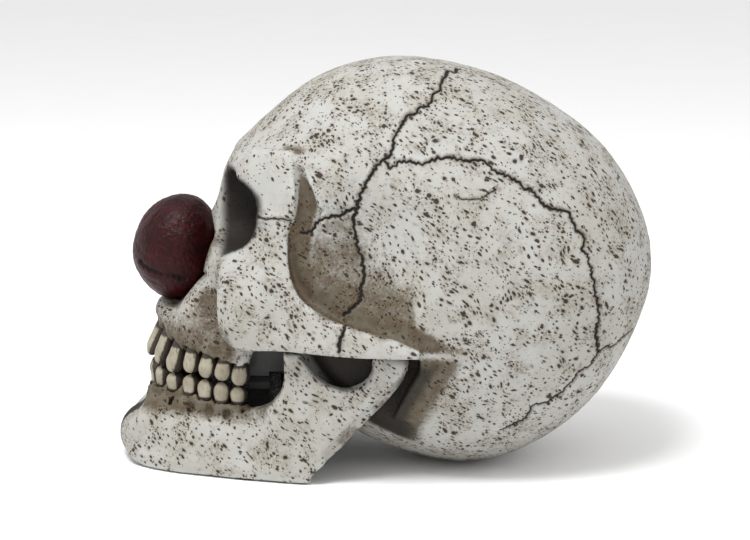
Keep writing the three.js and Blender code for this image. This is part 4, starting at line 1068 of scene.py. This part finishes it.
skull_mesh = casting_mesh("skull", skull_clay, cracks, skull_wash, SKULL_BARE, skull_dark_paint_and_shade, UPPER_TEETH)
skull = add_object("skull", skull_mesh, bone, enamel)
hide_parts("skull_casting")
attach(skull, "head")

jaw_mesh = casting_mesh("jaw", jaw_clay, [], jaw_wash, JAW_BARE, jaw_painted_shade, LOWER_TEETH)
jaw = add_object("jaw", jaw_mesh, bone, enamel)
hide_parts("jaw_casting")
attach(jaw, "jaw")

ball = add_object("red_nose", nose_ball(), ball_paint("dark red resin"))
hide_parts("nose_ball")
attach(ball, "head")

# ---------- Fittings ----------
FITTINGS = {
    "steel": plain_paint("stainless steel", (0.60, 0.60, 0.61), (0.50, 0.50, 0.51), 0.30, 0.25, 0.04,
                         Metallic=1.0),
    "acetal": plain_paint("white acetal", (0.80, 0.79, 0.74), (0.70, 0.68, 0.62), 0.42),
    "dark_plastic": plain_paint("dark moulded plastic", (0.030, 0.028, 0.026), (0.016, 0.015, 0.014),
                                0.42),
    "silicone": plain_paint("cloudy silicone", (0.62, 0.66, 0.64), (0.50, 0.54, 0.52), 0.34, 1.2, 0.05,
                            Subsurface_Weight=0.15),
    "black_rubber": plain_paint("black rubber", (0.028, 0.028, 0.028), (0.014, 0.014, 0.014), 0.72,
                                0.4, 0.1),
    "dowel_wood": wood_paint("birch dowel"),
    "mineral": stone_paint("sintered stone"),
}
REPLACED = ("skull_casting", "jaw_casting", "nose_ball")
# mm, of the softened edges
EDGE_WIDTH = {"steel": 0.12, "acetal": 0.15, "dark_plastic": 0.18, "black_rubber": 0.22, "mineral": 0.25}
for part in frame["record"]["subparts"]:
    if part["node"] not in REPLACED:
        node, slot = frame["nodes"][part["node"]], part["material_slot"]
        node.data.materials.clear()
        node.data.materials.append(FITTINGS[slot])
        if slot in EDGE_WIDTH:
            edge = node.modifiers.new("soft edges", "BEVEL")
            edge.width, edge.segments, edge.angle_limit = EDGE_WIDTH[slot] * MM, 2, math.radians(40)

# ---------- Floor, light and camera ----------
FLOOR_REACH = 3000  # mm
corners = FLOOR_REACH * np.array([(-1, -1, 0), (1, -1, 0), (1, 1, 0), (-1, 1, 0)])
floor_mesh = make_mesh("floor", corners, [(0, 1, 2, 3)], {})
floor_paint = Paint("white floor")
paper = floor_paint.noise(floor_paint.places(), 40.0)
floor = add_object("floor", floor_mesh, floor_paint.finish(
    floor_paint.mix(paper, (0.95, 0.95, 0.95), (0.92, 0.92, 0.92)), 0.8 + 0.1 * paper))

MIDDLE = Vector((0, -0.0029, 0.0539))


def add_lamp(name, azimuth, height, distance, size, power):
    """A soft square light that faces the ornament, from azimuth degrees round and height degrees up."""
    lamp = bpy.data.lights.new(name, "AREA")
    lamp.shape, lamp.size, lamp.energy = "SQUARE", size, power
    piece = bpy.data.objects.new(name, lamp)
    bpy.context.scene.collection.objects.link(piece)
    turn, rise = math.radians(azimuth), math.radians(height)
    way = Vector((math.sin(turn) * math.cos(rise), -math.cos(turn) * math.cos(rise), math.sin(rise)))
    piece.location = MIDDLE + way * distance
    piece.rotation_euler = way.to_track_quat("Z", "Y").to_euler()


add_lamp("key", 60, 62, 0.9, 0.35, 7.5)
add_lamp("fill", 150, 25, 1.1, 0.8, 2.0)
add_lamp("front", 20, 12, 1.1, 0.6, 1.2)

world = bpy.data.worlds.new("studio")
bpy.context.scene.world = world
world.use_nodes = True
world.node_tree.nodes["Background"].inputs["Color"].default_value = (1.0, 1.0, 1.0, 1)
world.node_tree.nodes["Background"].inputs["Strength"].default_value = 0.82

camera = bpy.data.objects.new("camera", bpy.data.cameras.new("camera"))
bpy.context.scene.collection.objects.link(camera)
camera.data.lens, camera.data.sensor_width = 120, 36
tilt = math.radians(11)
camera.location = MIDDLE + Vector((math.cos(tilt), 0, math.sin(tilt))) * 0.717
camera.rotation_euler = (camera.location - MIDDLE).to_track_quat("Z", "Y").to_euler()
bpy.context.scene.camera = camera
bpy.context.scene.view_settings.view_transform = "Standard"
